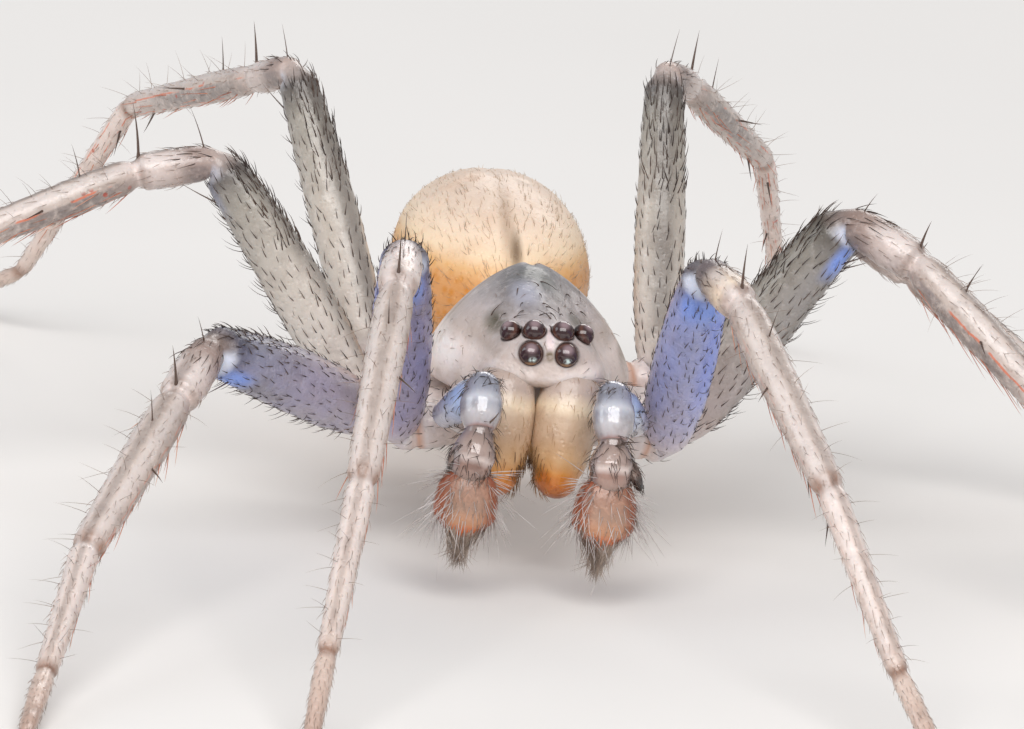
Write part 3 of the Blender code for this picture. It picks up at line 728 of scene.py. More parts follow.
def leg_look(name, femur, flank, flank_share, vivid, outer, keel, knee, lines):
    """One leg's skin: the colours run along its map from the coxa to the claws.

    femur holds the colours of its base, middle, end and cap; vivid, outer, keel and lines say how
    much there is of the blue patch by the knee and of the painted highlight on the knee's soft skin,
    of the blue on the outer side, of the painted shade along the underside, and of the dark marks of
    the shank with the painted shade along its top. Places along the leg are counted in segments.
    """
    look = Look(name, **CUTICLE)
    u, v = look.skin_map()
    base, middle, end, cap = femur
    rim = (150, 116, 98)
    full = len(SEGMENTS)

    def along(start, stop, ease):
        return v.within(start / full, stop / full, ease)

    look.colour = look.ramp(v, tones(
        (0.0, 206, 190, 182), (0.60, 226, 216, 214), (0.71, 206, 160, 136), (0.76, 226, 210, 204),
        (0.97, 220, 212, 216), (1.10, *base), (1.50, *middle), (1.84, *end), (1.945, *cap),
        (1.985, *knee[0]), (2.05, *knee[1]), (2.28, *knee[2]), (2.52, *knee[3]), (2.80, *knee[4]),
        (2.925, 176, 158, 150), (2.975, 222, 204, 196), (3.06, 182, 166, 157), (3.22, 196, 182, 173),
        (3.92, 206, 191, 183), (3.98, *rim), (4.03, 222, 206, 198), (4.94, 214, 196, 186), (4.995, *rim),
        (5.08, 212, 192, 180), (6.0, 180, 150, 134), full=full,
    ))
    low = abs(u - 0.5)  # 0 along the underside, 0.5 on top
    mottle = look.noise(5.0, 4.0, 0.6)
    fine = look.noise(22.0, 4.0, 0.65)
    look.tint(mottle.between(0.46, 0.72) * 0.5, tone(196, 190, 188))
    look.tint(fine.between(0.50, 0.70) * 0.6, (0.14, 0.13, 0.13, 1), "ADD")
    # Femur: the tint of its flanks, painted shade along its back and underside, the blue of its end
    thigh = along(1.12, 1.95, 0.012)
    look.paint(low.between(0.36, 0.14) * thigh * mottle.between(0.80, 0.30) * flank_share, *flank)
    outside = u.between(0.50, 0.64) * u.between(0.86, 0.74) * along(1.30, 1.93, 0.03)
    look.paint(outside * outer, 112, 138, 232)
    edge = low.between(0.36, 0.49) * 0.6 + low.between(0.15, 0.03) * keel
    look.paint(edge * thigh, *cap)
    look.paint(low.between(0.20, 0.12) * along(1.82, 1.945, 0.010) * vivid, 128, 162, 244)
    # The soft skin on the underside of the knee, pale blue white, with a painted highlight on it
    hollow = along(1.952, 2.07, 0.004) * low.between(0.32, 0.20)
    look.paint(hollow * (0.35 + 0.6 * vivid), 222, 228, 244)
    # Shank: a painted highlight along the top with painted shade on the ridge over it
    beyond = along(2.40, 4.90, 0.02)
    look.paint(low.between(0.30, 0.37) * low.between(0.46, 0.42) * beyond * 0.40, 232, 224, 221)
    look.paint(low.between(0.445, 0.485) * beyond * (0.25 + 0.3 * lines), 120, 110, 106)
    # A dusky streak low on each side of it, with ruddy edges, specks and pits
    off = abs(low + (mottle - 0.5) * 0.07 - 0.175)
    shin = look.math("MAXIMUM", along(3.05, 3.70, 0.03), along(2.10, 2.40, 0.02))
    streak = off.between(0.105, 0.070) * shin * fine.between(0.85, 0.30)
    look.paint(streak * (lines * 0.85), 124, 115, 113)
    whole = along(3.03, 4.55, 0.03)
    dashes = look.noise(6.5, 2.0, 0.5).between(0.47, 0.56)
    look.paint(abs(off - 0.095).between(0.015, 0.004) * whole * dashes * (lines * 0.8), 214, 112, 76)
    specks = look.cells(8.0).between(0.15, 0.09) * whole * off.between(0.15, 0.10)
    look.paint(specks * (lines * 0.8), 176, 62, 36)
    look.paint(look.cells(21.0).between(0.22, 0.12) * beyond * 0.35, 134, 116, 106)
    return look.cuticle(0.24, 0.42)


# The pale cream last stops of DARK_KNEE and BRIGHT_KNEE are painted highlights on the patella.
PINK_KNEE = ((172, 158, 152), (184, 166, 158), (162, 143, 136), (194, 178, 171), (214, 200, 194))
BROWN_KNEE = ((128, 114, 108), (140, 121, 113), (158, 138, 130), (196, 180, 173), (216, 202, 196))
DARK_KNEE = ((108, 100, 104), (100, 89, 92), (112, 100, 100), (184, 166, 152), (236, 214, 190))
BRIGHT_KNEE = ((112, 104, 110), (126, 115, 118), (202, 187, 184), (238, 222, 217), (240, 225, 217))
LEG_LOOKS = {
    ("r", 1): leg_look(
        "leg_blue_grey", ((188, 178, 198), (158, 152, 180), (136, 128, 148), (84, 78, 92)),
        (140, 138, 186), 0.5, 0.6, 0.5, 0.0, BRIGHT_KNEE, 0.2,
    ),
    ("r", 2): leg_look(
        "leg_slate_blue", ((208, 198, 200), (182, 172, 184), (138, 138, 152), (88, 88, 102)),
        (160, 160, 204), 0.45, 1.0, 0.0, 0.2, BROWN_KNEE, 0.5,
    ),
    ("l", 1): leg_look(
        "leg_vivid_blue", ((208, 198, 212), (172, 174, 212), (160, 168, 214), (100, 94, 102)),
        (152, 162, 218), 0.45, 0.8, 0.8, 0.0, DARK_KNEE, 0.2,
    ),
    ("l", 2): leg_look(
        "leg_olive_blue", ((194, 178, 172), (160, 153, 144), (140, 134, 124), (90, 84, 76)),
        (150, 152, 172), 0.22, 0.9, 0.0, 0.3, BROWN_KNEE, 1.0,
    ),
}
OLIVE_LOOK = leg_look(
    "leg_olive", ((216, 208, 200), (204, 195, 184), (158, 152, 142), (98, 92, 88)),
    (150, 148, 150), 0.2, 0.15, 0.0, 0.45, PINK_KNEE, 1.0,
)

# Marks on the carapace: middle, half sizes, share, colour
CARAPACE_MARKS = (
    # Painted sheen, pale lilac blue, high on the head
    ((-0.10, -0.30, 1.60), (0.14, 0.30, 0.12), 0.55, (180, 182, 200)),
    ((-0.02, -0.06, 1.66), (0.19, 0.19, 0.14), 0.90, (84, 86, 84)),
    ((0.06, -0.15, 1.62), (0.10, 0.14, 0.09), 0.80, (106, 108, 106)),
    ((0.12, -0.22, 1.57), (0.10, 0.24, 0.10), 0.40, (150, 146, 144)),
    ((-0.29, -0.40, 1.45), (0.12, 0.22, 0.10), 1.00, (92, 86, 72)),
    ((-0.33, -0.40, 1.42), (0.07, 0.16, 0.07), 0.60, (130, 122, 106)),
    ((-0.40, -0.42, 1.38), (0.13, 0.30, 0.13), 0.65, (170, 155, 145)),
    ((0.42, -0.42, 1.34), (0.12, 0.30, 0.13), 0.50, (166, 150, 139)),
    ((0.23, -0.38, 1.46), (0.13, 0.22, 0.10), 0.95, (88, 86, 80)),
    ((0.29, -0.34, 1.39), (0.09, 0.24, 0.11), 0.80, (100, 90, 78)),
    # Painted shade along the edge of the spider's left flank
    ((0.54, -0.02, 1.19), (0.07, 0.26, 0.13), 0.60, (140, 124, 108)),
    ((0.43, -0.15, 1.32), (0.08, 0.40, 0.10), 0.35, (164, 148, 134)),
    # Painted light on the spider's right flank
    ((-0.52, -0.12, 1.20), (0.14, 0.46, 0.16), 0.85, (250, 242, 240)),
)


def carapace_look():
    look = Look("carapace_cuticle", **{**CUTICLE, "Subsurface_Scale": 0.0001})
    x, y, z = look.parts(look.where)
    mottle = look.noise(3.6, 5.0, 0.62, 0.3)
    haze = look.noise(11.0, 4.0, 0.6)
    look.colour = look.ramp((z + (mottle - 0.5) * 0.16).between(0.95, 1.70), tones(
        (0.0, 232, 218, 210), (0.33, 238, 223, 216), (0.50, 198, 183, 175), (0.78, 182, 172, 171),
        (1.0, 118, 117, 120),
    ))
    look.tint(mottle.between(0.46, 0.66) * 0.55, tone(196, 186, 176))
    look.paint(haze.between(0.50, 0.72) * 0.35, 220, 213, 214)
    # The marks; among them are a painted sheen, a painted shade and a painted light
    for middle, half, share, colour in CARAPACE_MARKS:
        look.paint(look.spot(middle, half, 0.15) * haze.between(0.24, 0.50) * share, *colour)
    turned = look.math("ARCTAN2", abs(x - FOVEA[0]), FOVEA[1] - y)
    rays = abs(look.math("SINE", turned * RAYS)).between(0.34, 0.05) * turned.between(0.5, 1.0)
    look.paint(rays * z.between(1.15, 1.40) * 0.4, 136, 128, 120)
    look.paint(look.spot(FOVEA, (0.030, 0.12, 0.2), 0.3) * 0.7, 82, 76, 70)
    # A pale strip between the eyes and an olive one under it
    look.paint(look.spot((0.006, -0.72, 1.43), (0.034, 0.14, 0.085), 0.45) * 0.9, 228, 208, 208)
    olive = look.spot((0.004, -0.79, 1.345), (0.034, 0.12, 0.046), 0.3)
    look.paint(olive * haze.between(0.30, 0.50), 116, 100, 74)
    for *_, place, radius in ALL_EYES:
        look.paint(look.spot(place, (radius + 0.022,) * 3, 0.82), 58, 38, 34)
    return look.cuticle(0.28, 0.46)


def abdomen_look():
    look = Look("abdomen_skin", **{**CUTICLE, "Coat_Weight": 0.15, "Subsurface_Scale": 0.00012})
    x, y, z = look.parts(look.where)
    # Orange low down, paled towards the top by a painted highlight from above
    look.colour = look.ramp(z.between(0.62, 1.78), tones(
        (0.0, 192, 126, 56), (0.45, 208, 136, 54), (0.62, 212, 142, 62), (0.72, 232, 182, 120),
        (0.80, 248, 220, 186), (0.90, 246, 222, 198), (1.0, 218, 196, 180),
    ))
    look.paint(look.cells(16.0).between(0.0, 0.6) * 0.15, 246, 226, 198)
    look.paint(look.noise(3.2, 4.0, 0.6).between(0.5, 0.8) * 0.35, 206, 152, 104)
    furrow = abs(x - float(ABDOMEN_MIDDLE[0])).between(0.07, 0.0) * z.between(1.3, 1.6) * y.between(2.1, 1.2)
    look.paint(furrow * 0.5, 150, 118, 90)
    look.paint(look.spot((0.03, 1.00, 1.52), (0.06, 0.35, 0.22), 0.1) * 0.9, 104, 78, 50)
    return look.cuticle(0.40, 0.60, 0.0000036)


def banded_look(name, stops, low=0.26, high=0.44, mottling=0.35, wander=0.03, **more):
    """Cuticle whose colours run along its piece's map."""
    look = Look(name, **{**CUTICLE, **more})
    v = look.skin_map()[1]
    mottle = look.noise(7.0, 4.0, 0.6)
    look.colour = look.ramp(v + (mottle - 0.5) * wander, stops)
    look.tint(mottle.between(0.45, 0.75) * mottling, (0.62, 0.54, 0.48, 1))
    return look.cuticle(low, high)


def cymbium_look():
    """An orange-brown shell with a pale middle, painted as light shining through it, and a painted glow at
    both ends.
    """
    look = Look("cymbium_cuticle", **CUTICLE)
    u, v = look.skin_map()
    front = 0.5 - abs(u - 0.5)
    mottle = look.noise(10.0, 4.0, 0.65)
    # Painted glow in bright orange at both ends, and painted light through the pale middle
    middle = look.ramp(v, tones(
        (0.0, 190, 100, 62), (0.10, 196, 112, 80), (0.26, 160, 120, 102), (0.52, 170, 138, 120),
        (0.66, 204, 148, 112), (0.745, 230, 112, 50), (0.80, 190, 116, 82), (0.87, 160, 128, 110),
        (1.0, 130, 108, 94),
    ))
    edge = look.ramp(v, tones(
        (0.0, 150, 72, 44), (0.35, 146, 84, 58), (0.75, 168, 86, 50), (1.0, 110, 86, 72),
    ))
    look.colour = look.mixed((front + (mottle - 0.5) * 0.10).between(0.06, 0.17), middle, edge)
    look.paint(look.noise(24.0, 3.0, 0.6, 0.8).between(0.50, 0.68) * 0.35, 206, 160, 136)
    return look.cuticle(0.24, 0.42)


def palp_look():
    """The palps up to the cymbium: glassy, clearest in the patella; the hook ends black."""
    look = Look("palp_cuticle", **{**CUTICLE, "Coat_Weight": 1.0, "Coat_Roughness": 0.06})
    u, v = look.skin_map()
    front = 0.5 - abs(u - 0.5)
    mottle = look.noise(8.0, 4.0, 0.6)
    # The pale bands at 0.470 and 0.520 are painted highlights on the patella
    look.colour = look.ramp(v + (mottle - 0.5) * 0.012, tones(
        (0.0, 214, 200, 194), (0.17, 224, 216, 218), (0.205, 170, 166, 176), (0.25, 186, 186, 202),
        (0.33, 172, 198, 246), (0.385, 202, 206, 224), (0.405, 168, 168, 182), (0.445, 190, 192, 206),
        (0.470, 232, 234, 242), (0.490, 202, 204, 216), (0.520, 230, 228, 232), (0.552, 214, 204, 206),
        (0.566, 204, 140, 126), (0.580, 240, 206, 198), (0.61, 140, 120, 114), (0.66, 166, 146, 137),
        (0.72, 178, 158, 150), (0.745, 220, 204, 198), (0.775, 160, 128, 116), (0.80, 170, 148, 138),
        (0.88, 158, 136, 126), (0.92, 70, 60, 58), (0.97, 30, 26, 28),
    ))
    # Painted shade on the sides and back of the patella and tibia
    look.paint(front.between(0.10, 0.21) * v.within(0.41, 0.79, 0.01) * 0.50, 132, 124, 132)
    look.paint(front.between(0.17, 0.06) * v.within(0.215, 0.40, 0.01) * 0.65, 146, 142, 150)
    look.tint(mottle.between(0.45, 0.70) * 0.6, tone(190, 184, 182))
    look.link("Transmission Weight", v.within(0.42, 0.59, 0.02) * 0.30)
    return look.cuticle(0.06, 0.16, 0.0000016)


def bristle_look(name, root, tip):
    """Hairs, each a little different in colour between two screen colours."""
    look = Look(name, IOR=1.5)
    shade = look.noise(6.0, 2.0)
    look.colour = look.mixed(shade.between(0.3, 0.7), tone(*root), tone(*tip))
    return look.finished(shade.rescaled(0.30, 0.45))


def eye_look(name, kinds, glint):
    """A dark glossy lens, brown towards its rim, with a painted highlight above its middle; glint
    adds a painted glint in a patch low on its middle."""
    look = Look(name, IOR=1.5, Coat_Weight=0.6, Coat_Roughness=0.03)
    look.colour = look.ramp(look.skin_map()[1], tones(
        (0.0, 62, 44, 46), (0.26, 60, 42, 42), (0.36, 92, 60, 50), (0.44, 58, 36, 32), (0.55, 30, 20, 18),
    ))
    eyes = [eye for eye in ALL_EYES if eye[2] in kinds]
    for _, side, kind, place, radius in eyes:
        aim = unit(np.array(EYE_AIMS[kind]) * (side, 1, 1)) + 0.75 * UP
        # A painted highlight, pinkish grey, above the middle of each lens
        painted_highlight = look.spot(place + unit(aim) * radius, (radius * 0.72,) * 3, 0.25)
        look.paint(painted_highlight * 0.85, 150, 128, 132)
    for *_, (x, y, z), radius in eyes if glint else ():
        # A painted glint, pale turquoise, low on the middle of each lens, with amber under it
        patch = look.spot((x + 0.004, y - radius * 0.96, z - 0.022), (0.032, 0.05, 0.026), 0.2)
        look.paint(patch * look.noise(42.0, 2.0).between(0.36, 0.60), 226, 246, 242)
        lower = look.spot((x, y - radius * 0.6, z - radius * 0.75), (0.05, 0.05, 0.022), 0.2)
        look.paint(lower * 0.8, 168, 122, 74)
    return look.finished(look.noise(20.0, 2.0).rescaled(0.05, 0.10))


BLACK_BRISTLE = bristle_look("black_bristle", (54, 44, 40), (94, 76, 66))
BROWN_BRISTLE = bristle_look("brown_bristle", (112, 92, 80), (150, 128, 112))
LIGHT_BRISTLE = bristle_look("light_bristle", (138, 118, 106), (176, 156, 144))
AMBER_BRISTLE = bristle_look("amber_bristle", (186, 92, 62), (216, 156, 130))
GOLD_BRISTLE = bristle_look("gold_bristle", (140, 100, 58), (196, 152, 100))
PALE_BRISTLE = bristle_look("pale_bristle", (178, 168, 164), (224, 218, 216))
COAT_BRISTLE = bristle_look("coat_bristle", (160, 134, 108), (208, 182, 152))
TUFT_BRISTLE = bristle_look("tuft_bristle", (84, 62, 44), (170, 126, 78))
TIP_BRISTLE = bristle_look("tip_bristle", (128, 108, 96), (186, 168, 154))


def linear(*rows):
    """Stops of a ramp, from rows of a place and a colour's own linear values."""
    return [(place, (*colour, 1)) for place, *colour in rows]


STERNUM_LOOK = banded_look(
    "sternum_cuticle", linear((0.0, 0.50, 0.42, 0.37), (0.5, 0.64, 0.55, 0.50), (1.0, 0.50, 0.42, 0.37)),
)
MOUTH_LOOK = banded_look(
    "labium_cuticle", linear((0.0, 0.72, 0.50, 0.36), (0.5, 0.52, 0.33, 0.22), (1.0, 0.45, 0.29, 0.20)),
)
PEDICEL_LOOK = banded_look("pedicel_cuticle", linear((0.0, 0.50, 0.40, 0.35), (1.0, 0.56, 0.40, 0.30)))
SPINNERET_LOOK = banded_look(
    "spinneret_cuticle", linear((0.0, 0.72, 0.50, 0.32), (0.4, 0.60, 0.45, 0.34), (1.0, 0.66, 0.55, 0.46)),
)
CHELICERA_LOOK = banded_look("chelicera_cuticle", tones(
    (0.0, 190, 172, 162), (0.10, 194, 175, 163), (0.19, 222, 202, 178), (0.26, 234, 214, 186),
    (0.36, 208, 182, 156), (0.56, 200, 170, 142), (0.78, 208, 168, 124), (0.89, 214, 150, 82),
    (0.95, 196, 114, 44), (1.0, 150, 80, 34),
), 0.22, 0.40, 0.40, 0.16, Coat_Weight=0.35)
FANG_LOOK = banded_look(
    "fang_cuticle", linear((0.0, 0.46, 0.18, 0.07), (0.6, 0.26, 0.08, 0.04), (1.0, 0.10, 0.03, 0.02)),
    0.14, 0.26, 0.2,
)
BULB_LOOK = banded_look("bulb_cuticle", linear(
    (0.0, 0.55, 0.30, 0.16), (0.45, 0.62, 0.36, 0.20), (0.6, 0.24, 0.09, 0.05), (1.0, 0.14, 0.05, 0.03),
), 0.16, 0.3, 0.3)
SPINE_LOOK = banded_look(
    "spine_dark", tones((0.0, 92, 72, 62), (1.0, 74, 58, 50)), 0.22, 0.36, 0.4, Subsurface_Weight=0.0,
)
CLAW_LOOK = banded_look(
    "claw_brown", linear((0.0, 0.16, 0.09, 0.06), (1.0, 0.06, 0.035, 0.025)), 0.2, 0.34, 0.2,
    Subsurface_Weight=0.0,
)
CARAPACE_LOOK = carapace_look()
ABDOMEN_LOOK = abdomen_look()
PALP_LOOK = palp_look()
CYMBIUM_LOOK = cymbium_look()


# Legs


def heading(yaw, pitch, side):
    yaw, pitch = math.radians(yaw), math.radians(pitch)
    flat = math.cos(pitch)
    return np.array((side * math.sin(yaw) * flat, -math.cos(yaw) * flat, math.sin(pitch)))


def leg_joints(key, pair):
    """Coxa start, hip, knee, end of patella, of tibia and of metatarsus, and the toe."""
    side = SIDES[key]
    joints = [np.array(place) * (side, 1, 1) for place in (COXA_START[pair], HIP[pair])]
    *turns, tarsus_yaw = POSE[key, pair]
    for (yaw, pitch), length in zip(turns, LENGTHS[pair]):
        joints.append(joints[-1] + heading(yaw, pitch, side) * length)
    drop = (FOOT_HEIGHT - joints[-1][2]) / LENGTHS[pair][-1]
    last = heading(tarsus_yaw, math.degrees(math.asin(drop)), side) * LENGTHS[pair][-1]
    return joints + [joints[-1] + last]


def leg_chain(joints):
    """The joints with the femur's bow, and the distance at which each segment starts."""
    hip, knee = joints[1], joints[2]
    axis = unit(knee - hip)
    lift = unit(UP - axis * (axis @ UP))
    bow = [mix(hip, knee, s) + lift * FEMUR_ARCH * math.sin(math.pi * s) for s in (0.25, 0.5, 0.75)]
    chain = [joints[0], hip, *bow, *joints[2:]]
    lengths = [chain_length(chain[:2]), chain_length(chain[1:6])]
    lengths += [chain_length(chain[i:i + 2]) for i in range(5, len(chain) - 1)]
    return chain, np.concatenate([[0], np.cumsum(lengths)])


def leg_skin(key, pair):
    chain, starts = leg_chain(leg_joints(key, pair))
    marks, sizes, distances, heights = [], [], [], []
    for number, name in enumerate(SEGMENTS):
        length = starts[number + 1] - starts[number]
        stout = mix(1.0, STOUTNESS[pair], 0.3 if name == "coxa" else 1.0)
        marks += [starts[number] + share * length for share, _ in PROFILES[name]]
        sizes += [radius * stout for _, radius in PROFILES[name]]
        shares = (0.5 - 0.5 * np.cos(np.linspace(0, math.pi, RINGS_A_SEGMENT + 1))) * 0.5
        shares = shares + np.linspace(0, 1, RINGS_A_SEGMENT + 1) * 0.5
        shares = shares[:-1] if number < len(SEGMENTS) - 1 else shares
        distances += list(starts[number] + shares * length)
        heights += list((number + shares) / len(SEGMENTS))
    distances = np.array(distances)
    radii = eased(distances, marks, sizes, EASE)
    heights += [1.0] * len(DOME)
    distances, radii = rounded(distances, radii, start=False)
    skin = sweep(walk(chain, distances, BEND), radii, LEG_SIDES, heights=heights, mirrored=key == "r")
    skin.push(WAVE_HEIGHT * np.sin(distances * WAVE_RATE)[:, None] * np.ones(LEG_SIDES))
    skin.rings[..., 2] = np.maximum(skin.rings[..., 2], 0.0)
    skin.update()
    return skin, chain, starts


# Setae as rows of (segment, from, to, rows, columns, middle, spread, length, rise, radius);
# middle and spread say which part of the round they take, as shares of a turn from the top
DARK_SETAE = (
    (0, 0.15, 0.95, 6, 8, 0.0, 1.0, 0.065, 30, 0.0028),
    (1, 0.06, 0.93, 20, 15, 0.0, 1.0, 0.084, 24, 0.0042),
    (1, 0.15, 0.85, 9, 3, 0.5, 0.16, 0.120, 46, 0.0028),
    (1, 0.60, 0.95, 10, 7, 0.0, 0.36, 0.125, 28, 0.0044),
    (2, 0.05, 0.40, 4, 6, 0.0, 0.50, 0.130, 18, 0.0040),
)
FINE_SETAE = (
    (2, 0.30, 0.90, 6, 9, 0.0, 1.0, 0.080, 24, 0.0024),
    (3, 0.05, 0.96, 16, 10, 0.0, 1.0, 0.085, 22, 0.0023),
    (4, 0.05, 0.96, 16, 9, 0.0, 1.0, 0.080, 22, 0.0022),
    (5, 0.08, 0.92, 17, 10, 0.0, 1.0, 0.060, 26, 0.0022),
)
AMBER_SETAE = (
    (3, 0.06, 0.92, 9, 4, 0.5, 0.45, 0.25, 8, 0.0040),
    (4, 0.08, 0.70, 6, 3, 0.5, 0.42, 0.20, 8, 0.0034),
)
UPRIGHT_HAIRS = (
    (3, 0.10, 0.95, 8, 3, 0.0, 0.5, 0.19, 74, 0.0017),
    (4, 0.10, 0.90, 7, 3, 0.0, 0.5, 0.16, 74, 0.0016),
)
# Kinds of setae on a leg: end of the piece's name, rows, look, curl, sway
LEG_SETAE = (
    ("setae", DARK_SETAE, BLACK_BRISTLE, 0.30, 9),
    ("fine_setae", FINE_SETAE, LIGHT_BRISTLE, 0.25, 9),
    ("amber_setae", AMBER_SETAE, AMBER_BRISTLE, 0.05, 5),
    ("hairs", UPRIGHT_HAIRS, BROWN_BRISTLE, 0.15, 25),
)
ROW_JITTER = 0.3


def along_leg(skin, segment, low, high, rows, columns, middle, spread):
    """Places in oblique rows on one segment, as ring and side numbers."""
    share, column = np.meshgrid(np.linspace(low, high, rows), np.arange(columns), indexing="ij")
    column = column + (np.arange(rows)[:, None] % 2) * 0.5
    share = share + RANDOM.uniform(-ROW_JITTER, ROW_JITTER, share.shape) * (high - low) / rows
    column = column + RANDOM.uniform(-ROW_JITTER, ROW_JITTER, share.shape)
    ring = skin.ring_at((segment + share.ravel()) / len(SEGMENTS))
    side = middle + ((column.ravel() + 0.5) / columns - 0.5) * spread
    return ring, side % 1.0 * LEG_SIDES


def leg_setae(name, skin, stout, rows, look, curl, sway):
    """One kind of setae on a leg, as one piece."""
    found = []
    for *place, length, rise, radius in rows:
        ring, side = along_leg(skin, *place)
        facts = np.broadcast_to(np.array((length * mix(1, stout, 0.5), rise, radius)), (len(ring), 3))
        found.append(np.column_stack([ring, side, facts]))
    ring, side, length, rise, radius = np.concatenate(found).T
    bristles(name, skin, ring, side, length, radius, look, "legs", rise=rise, curl=curl, sway=sway)


def spine(root, aim, length, radius, sag):
    """A tapered spine with a swollen base in a socket."""
    centres = root + aim * (SPINE_SHARES * length)[:, None] + sag * ((SPINE_SHARES ** 2) * length)[:, None]
    return sweep(centres, SPINE_WIDTHS * radius, 8, reference=unit(np.cross(aim, (0.3, 0.5, 0.8))))


def leg_spines(chain, starts, pair, side):
    made = []
    lengths = np.diff(starts)
    for segment, rows in SPINES.items():
        number = SEGMENTS.index(segment)
        scale = KNEE_SPINE_SCALE.get((pair, side), 1.0) if segment == "patella" else 1.0
        for share, turn, length, lean, thick in rows:
            here = np.array([starts[number] + share * lengths[number]])
            steps = (-SPINE_STEP, 0.0, SPINE_STEP)
            behind, centre, ahead = (walk(chain, here + step, SPINE_STEP)[0] for step in steps)
            axis = unit(ahead - behind)
            top = unit(UP - axis * (axis @ UP))
            flank = np.cross(axis, top) * side
            marks, sizes = zip(*PROFILES[segment])
            radius = float(np.interp(share, marks, sizes)) * STOUTNESS[pair]
            turn, lean = math.radians(turn), math.radians(lean)
            outward = top * math.cos(turn) + flank * math.sin(turn)
            aim = outward * math.cos(lean) + axis * math.sin(lean)
            root = centre + outward * radius * SPINE_ROOT
            length = length * scale + radius * 0.24
            made.append(spine(root, aim, length, SPINE_RADIUS * thick, axis * SPINE_SAG))
    return made


def claws(joints):
    """Two curved claws and a small third one under them, at the end of a tarsus."""
    toe, axis = joints[-1], unit(joints[-1] - joints[-2])
    flat = unit(axis * (1, 1, 0))
    flank = np.cross(flat, UP)
    made = []
    for across, size in ((-1, 1.0), (1, 1.0), (0, 0.6)):
        t = np.linspace(0, 1, 12)
        reach = (0.012 + 0.075 * size * t) - 0.02
        rise = 0.012 + 0.030 * size * np.sin(t * math.pi * 0.9)
        out = across * (0.012 + 0.016 * t)
        centres = toe * (1, 1, 0) + flat * reach[:, None] + flank * out[:, None] + UP * rise[:, None]
        made.append(sweep(centres, 0.0085 * size * (1 - t) ** 0.7 + 0.0008, 6))
    return made


def make_legs():
    for key, pair in POSE:
        leg = f"leg_{key}{pair}"
        skin, chain, starts = leg_skin(key, pair)
        nodes = [f"{leg}_{part}" for part in ("coxa", "femur", "tibia", "tarsus")]
        skin_object(f"{leg}_skin", skin, LEG_LOOKS.get((key, pair), OLIVE_LOOK), "legs", *nodes)
        for kind, *ways in LEG_SETAE:
            leg_setae(f"{leg}_{kind}", skin, STOUTNESS[pair], *ways)
        skin_object(f"{leg}_spines", leg_spines(chain, starts, pair, SIDES[key]), SPINE_LOOK, "legs")
        skin_object(f"{leg}_claws", claws(leg_joints(key, pair)), CLAW_LOOK, "legs")


# Body


def carapace_power(a):
    return mix(4.0, 2.3, smooth(-0.5, 0.3, a))


def carapace_skin():
    a = blunt_stations(CARAPACE_HALF_LENGTH, 0.5, carapace_power, 150)
    across, upward = ring_angles(168)
    size = blunt(a, carapace_power(a))
    width = mix(HEAD_HALF_WIDTH, THORAX_HALF_WIDTH, smooth(-0.75, 0.0, a))
    middle = mix(CLYPEUS_MIDDLE, CARAPACE_MARGIN, smooth(-1.0, -0.4, a))
    top = mix(HEAD_TOP, THORAX_TOP, smooth(-0.9, 0.1, a)) - THORAX_DROP * smooth(0.2, 1.0, a)
    bottom = mix(CLYPEUS_EDGE, CARAPACE_FLOOR, smooth(-0.95, -0.45, a))
    gable = mix(HEAD_GABLE, THORAX_GABLE, smooth(-0.85, -0.3, a))
    upper, lower = np.maximum(upward, 0), np.maximum(-upward, 0)
    rise = (top - middle) * upper ** gable - (middle - bottom) * lower ** 0.6
    across = np.where(upward > 0, np.sign(across) * np.abs(across) ** gable, across)
    skew = CARAPACE_SKEW * upper * smooth(-0.9, -0.1, a) * (1 - 0.8 * smooth(-0.35, 0.15, a))
    x, y, z = (width * across + skew) * size, CARAPACE_HALF_LENGTH * a + 0 * across, middle + rise * size
    rings = np.stack([x, y, z], -1)
    # Averaging over neighbours takes the sharpness off the ridge.
    skin = Skin(np.mean([np.roll(rings, shift, axis=1) for shift in range(-6, 7)], axis=0))
    points = skin.rings
    x, y, z = (points[..., axis] for axis in range(3))
    back = smooth(1.15, 1.35, z)
    # The fovea, the furrows that run out from it and those that set off the head
    amount = -lump(points, FOVEA, (0.028, 0.10, 0.20), 0.030)
    turned = np.arctan2(np.abs(x), FOVEA[1] - y)
    rays = bell(np.abs(np.sin(turned * RAYS)), 0.16)
    amount -= 0.006 * rays * smooth(0.06, 0.2, np.hypot(x, FOVEA[1] - y)) * smooth(0.5, 1.0, turned) * back
    neck = np.abs(np.abs(x) - (0.10 + 0.55 * (FOVEA[1] - 0.1 - y)))
    forward = smooth(0.15, -0.05, y) * smooth(-0.62, -0.40, y)
    amount -= 0.008 * bell(neck, 0.07) * forward * back
    # Each eye sits in a hollow with a low rim.
    for *_, place, radius in ALL_EYES:
        away = np.linalg.norm(points - place, axis=-1)
        amount += 0.007 * bell(away - radius - 0.010, 0.012)
        amount -= 0.016 * smooth(radius + 0.006, radius - 0.010, away)
    # The front edge stands out over the tops of the jaws.
    lip = smooth(1.32, 1.20, z) * smooth(1.13, 1.17, z) * smooth(-0.60, -0.74, y)
    amount += 0.026 * lip * smooth(0.42, 0.30, np.abs(x))
    return skin.push(amount)


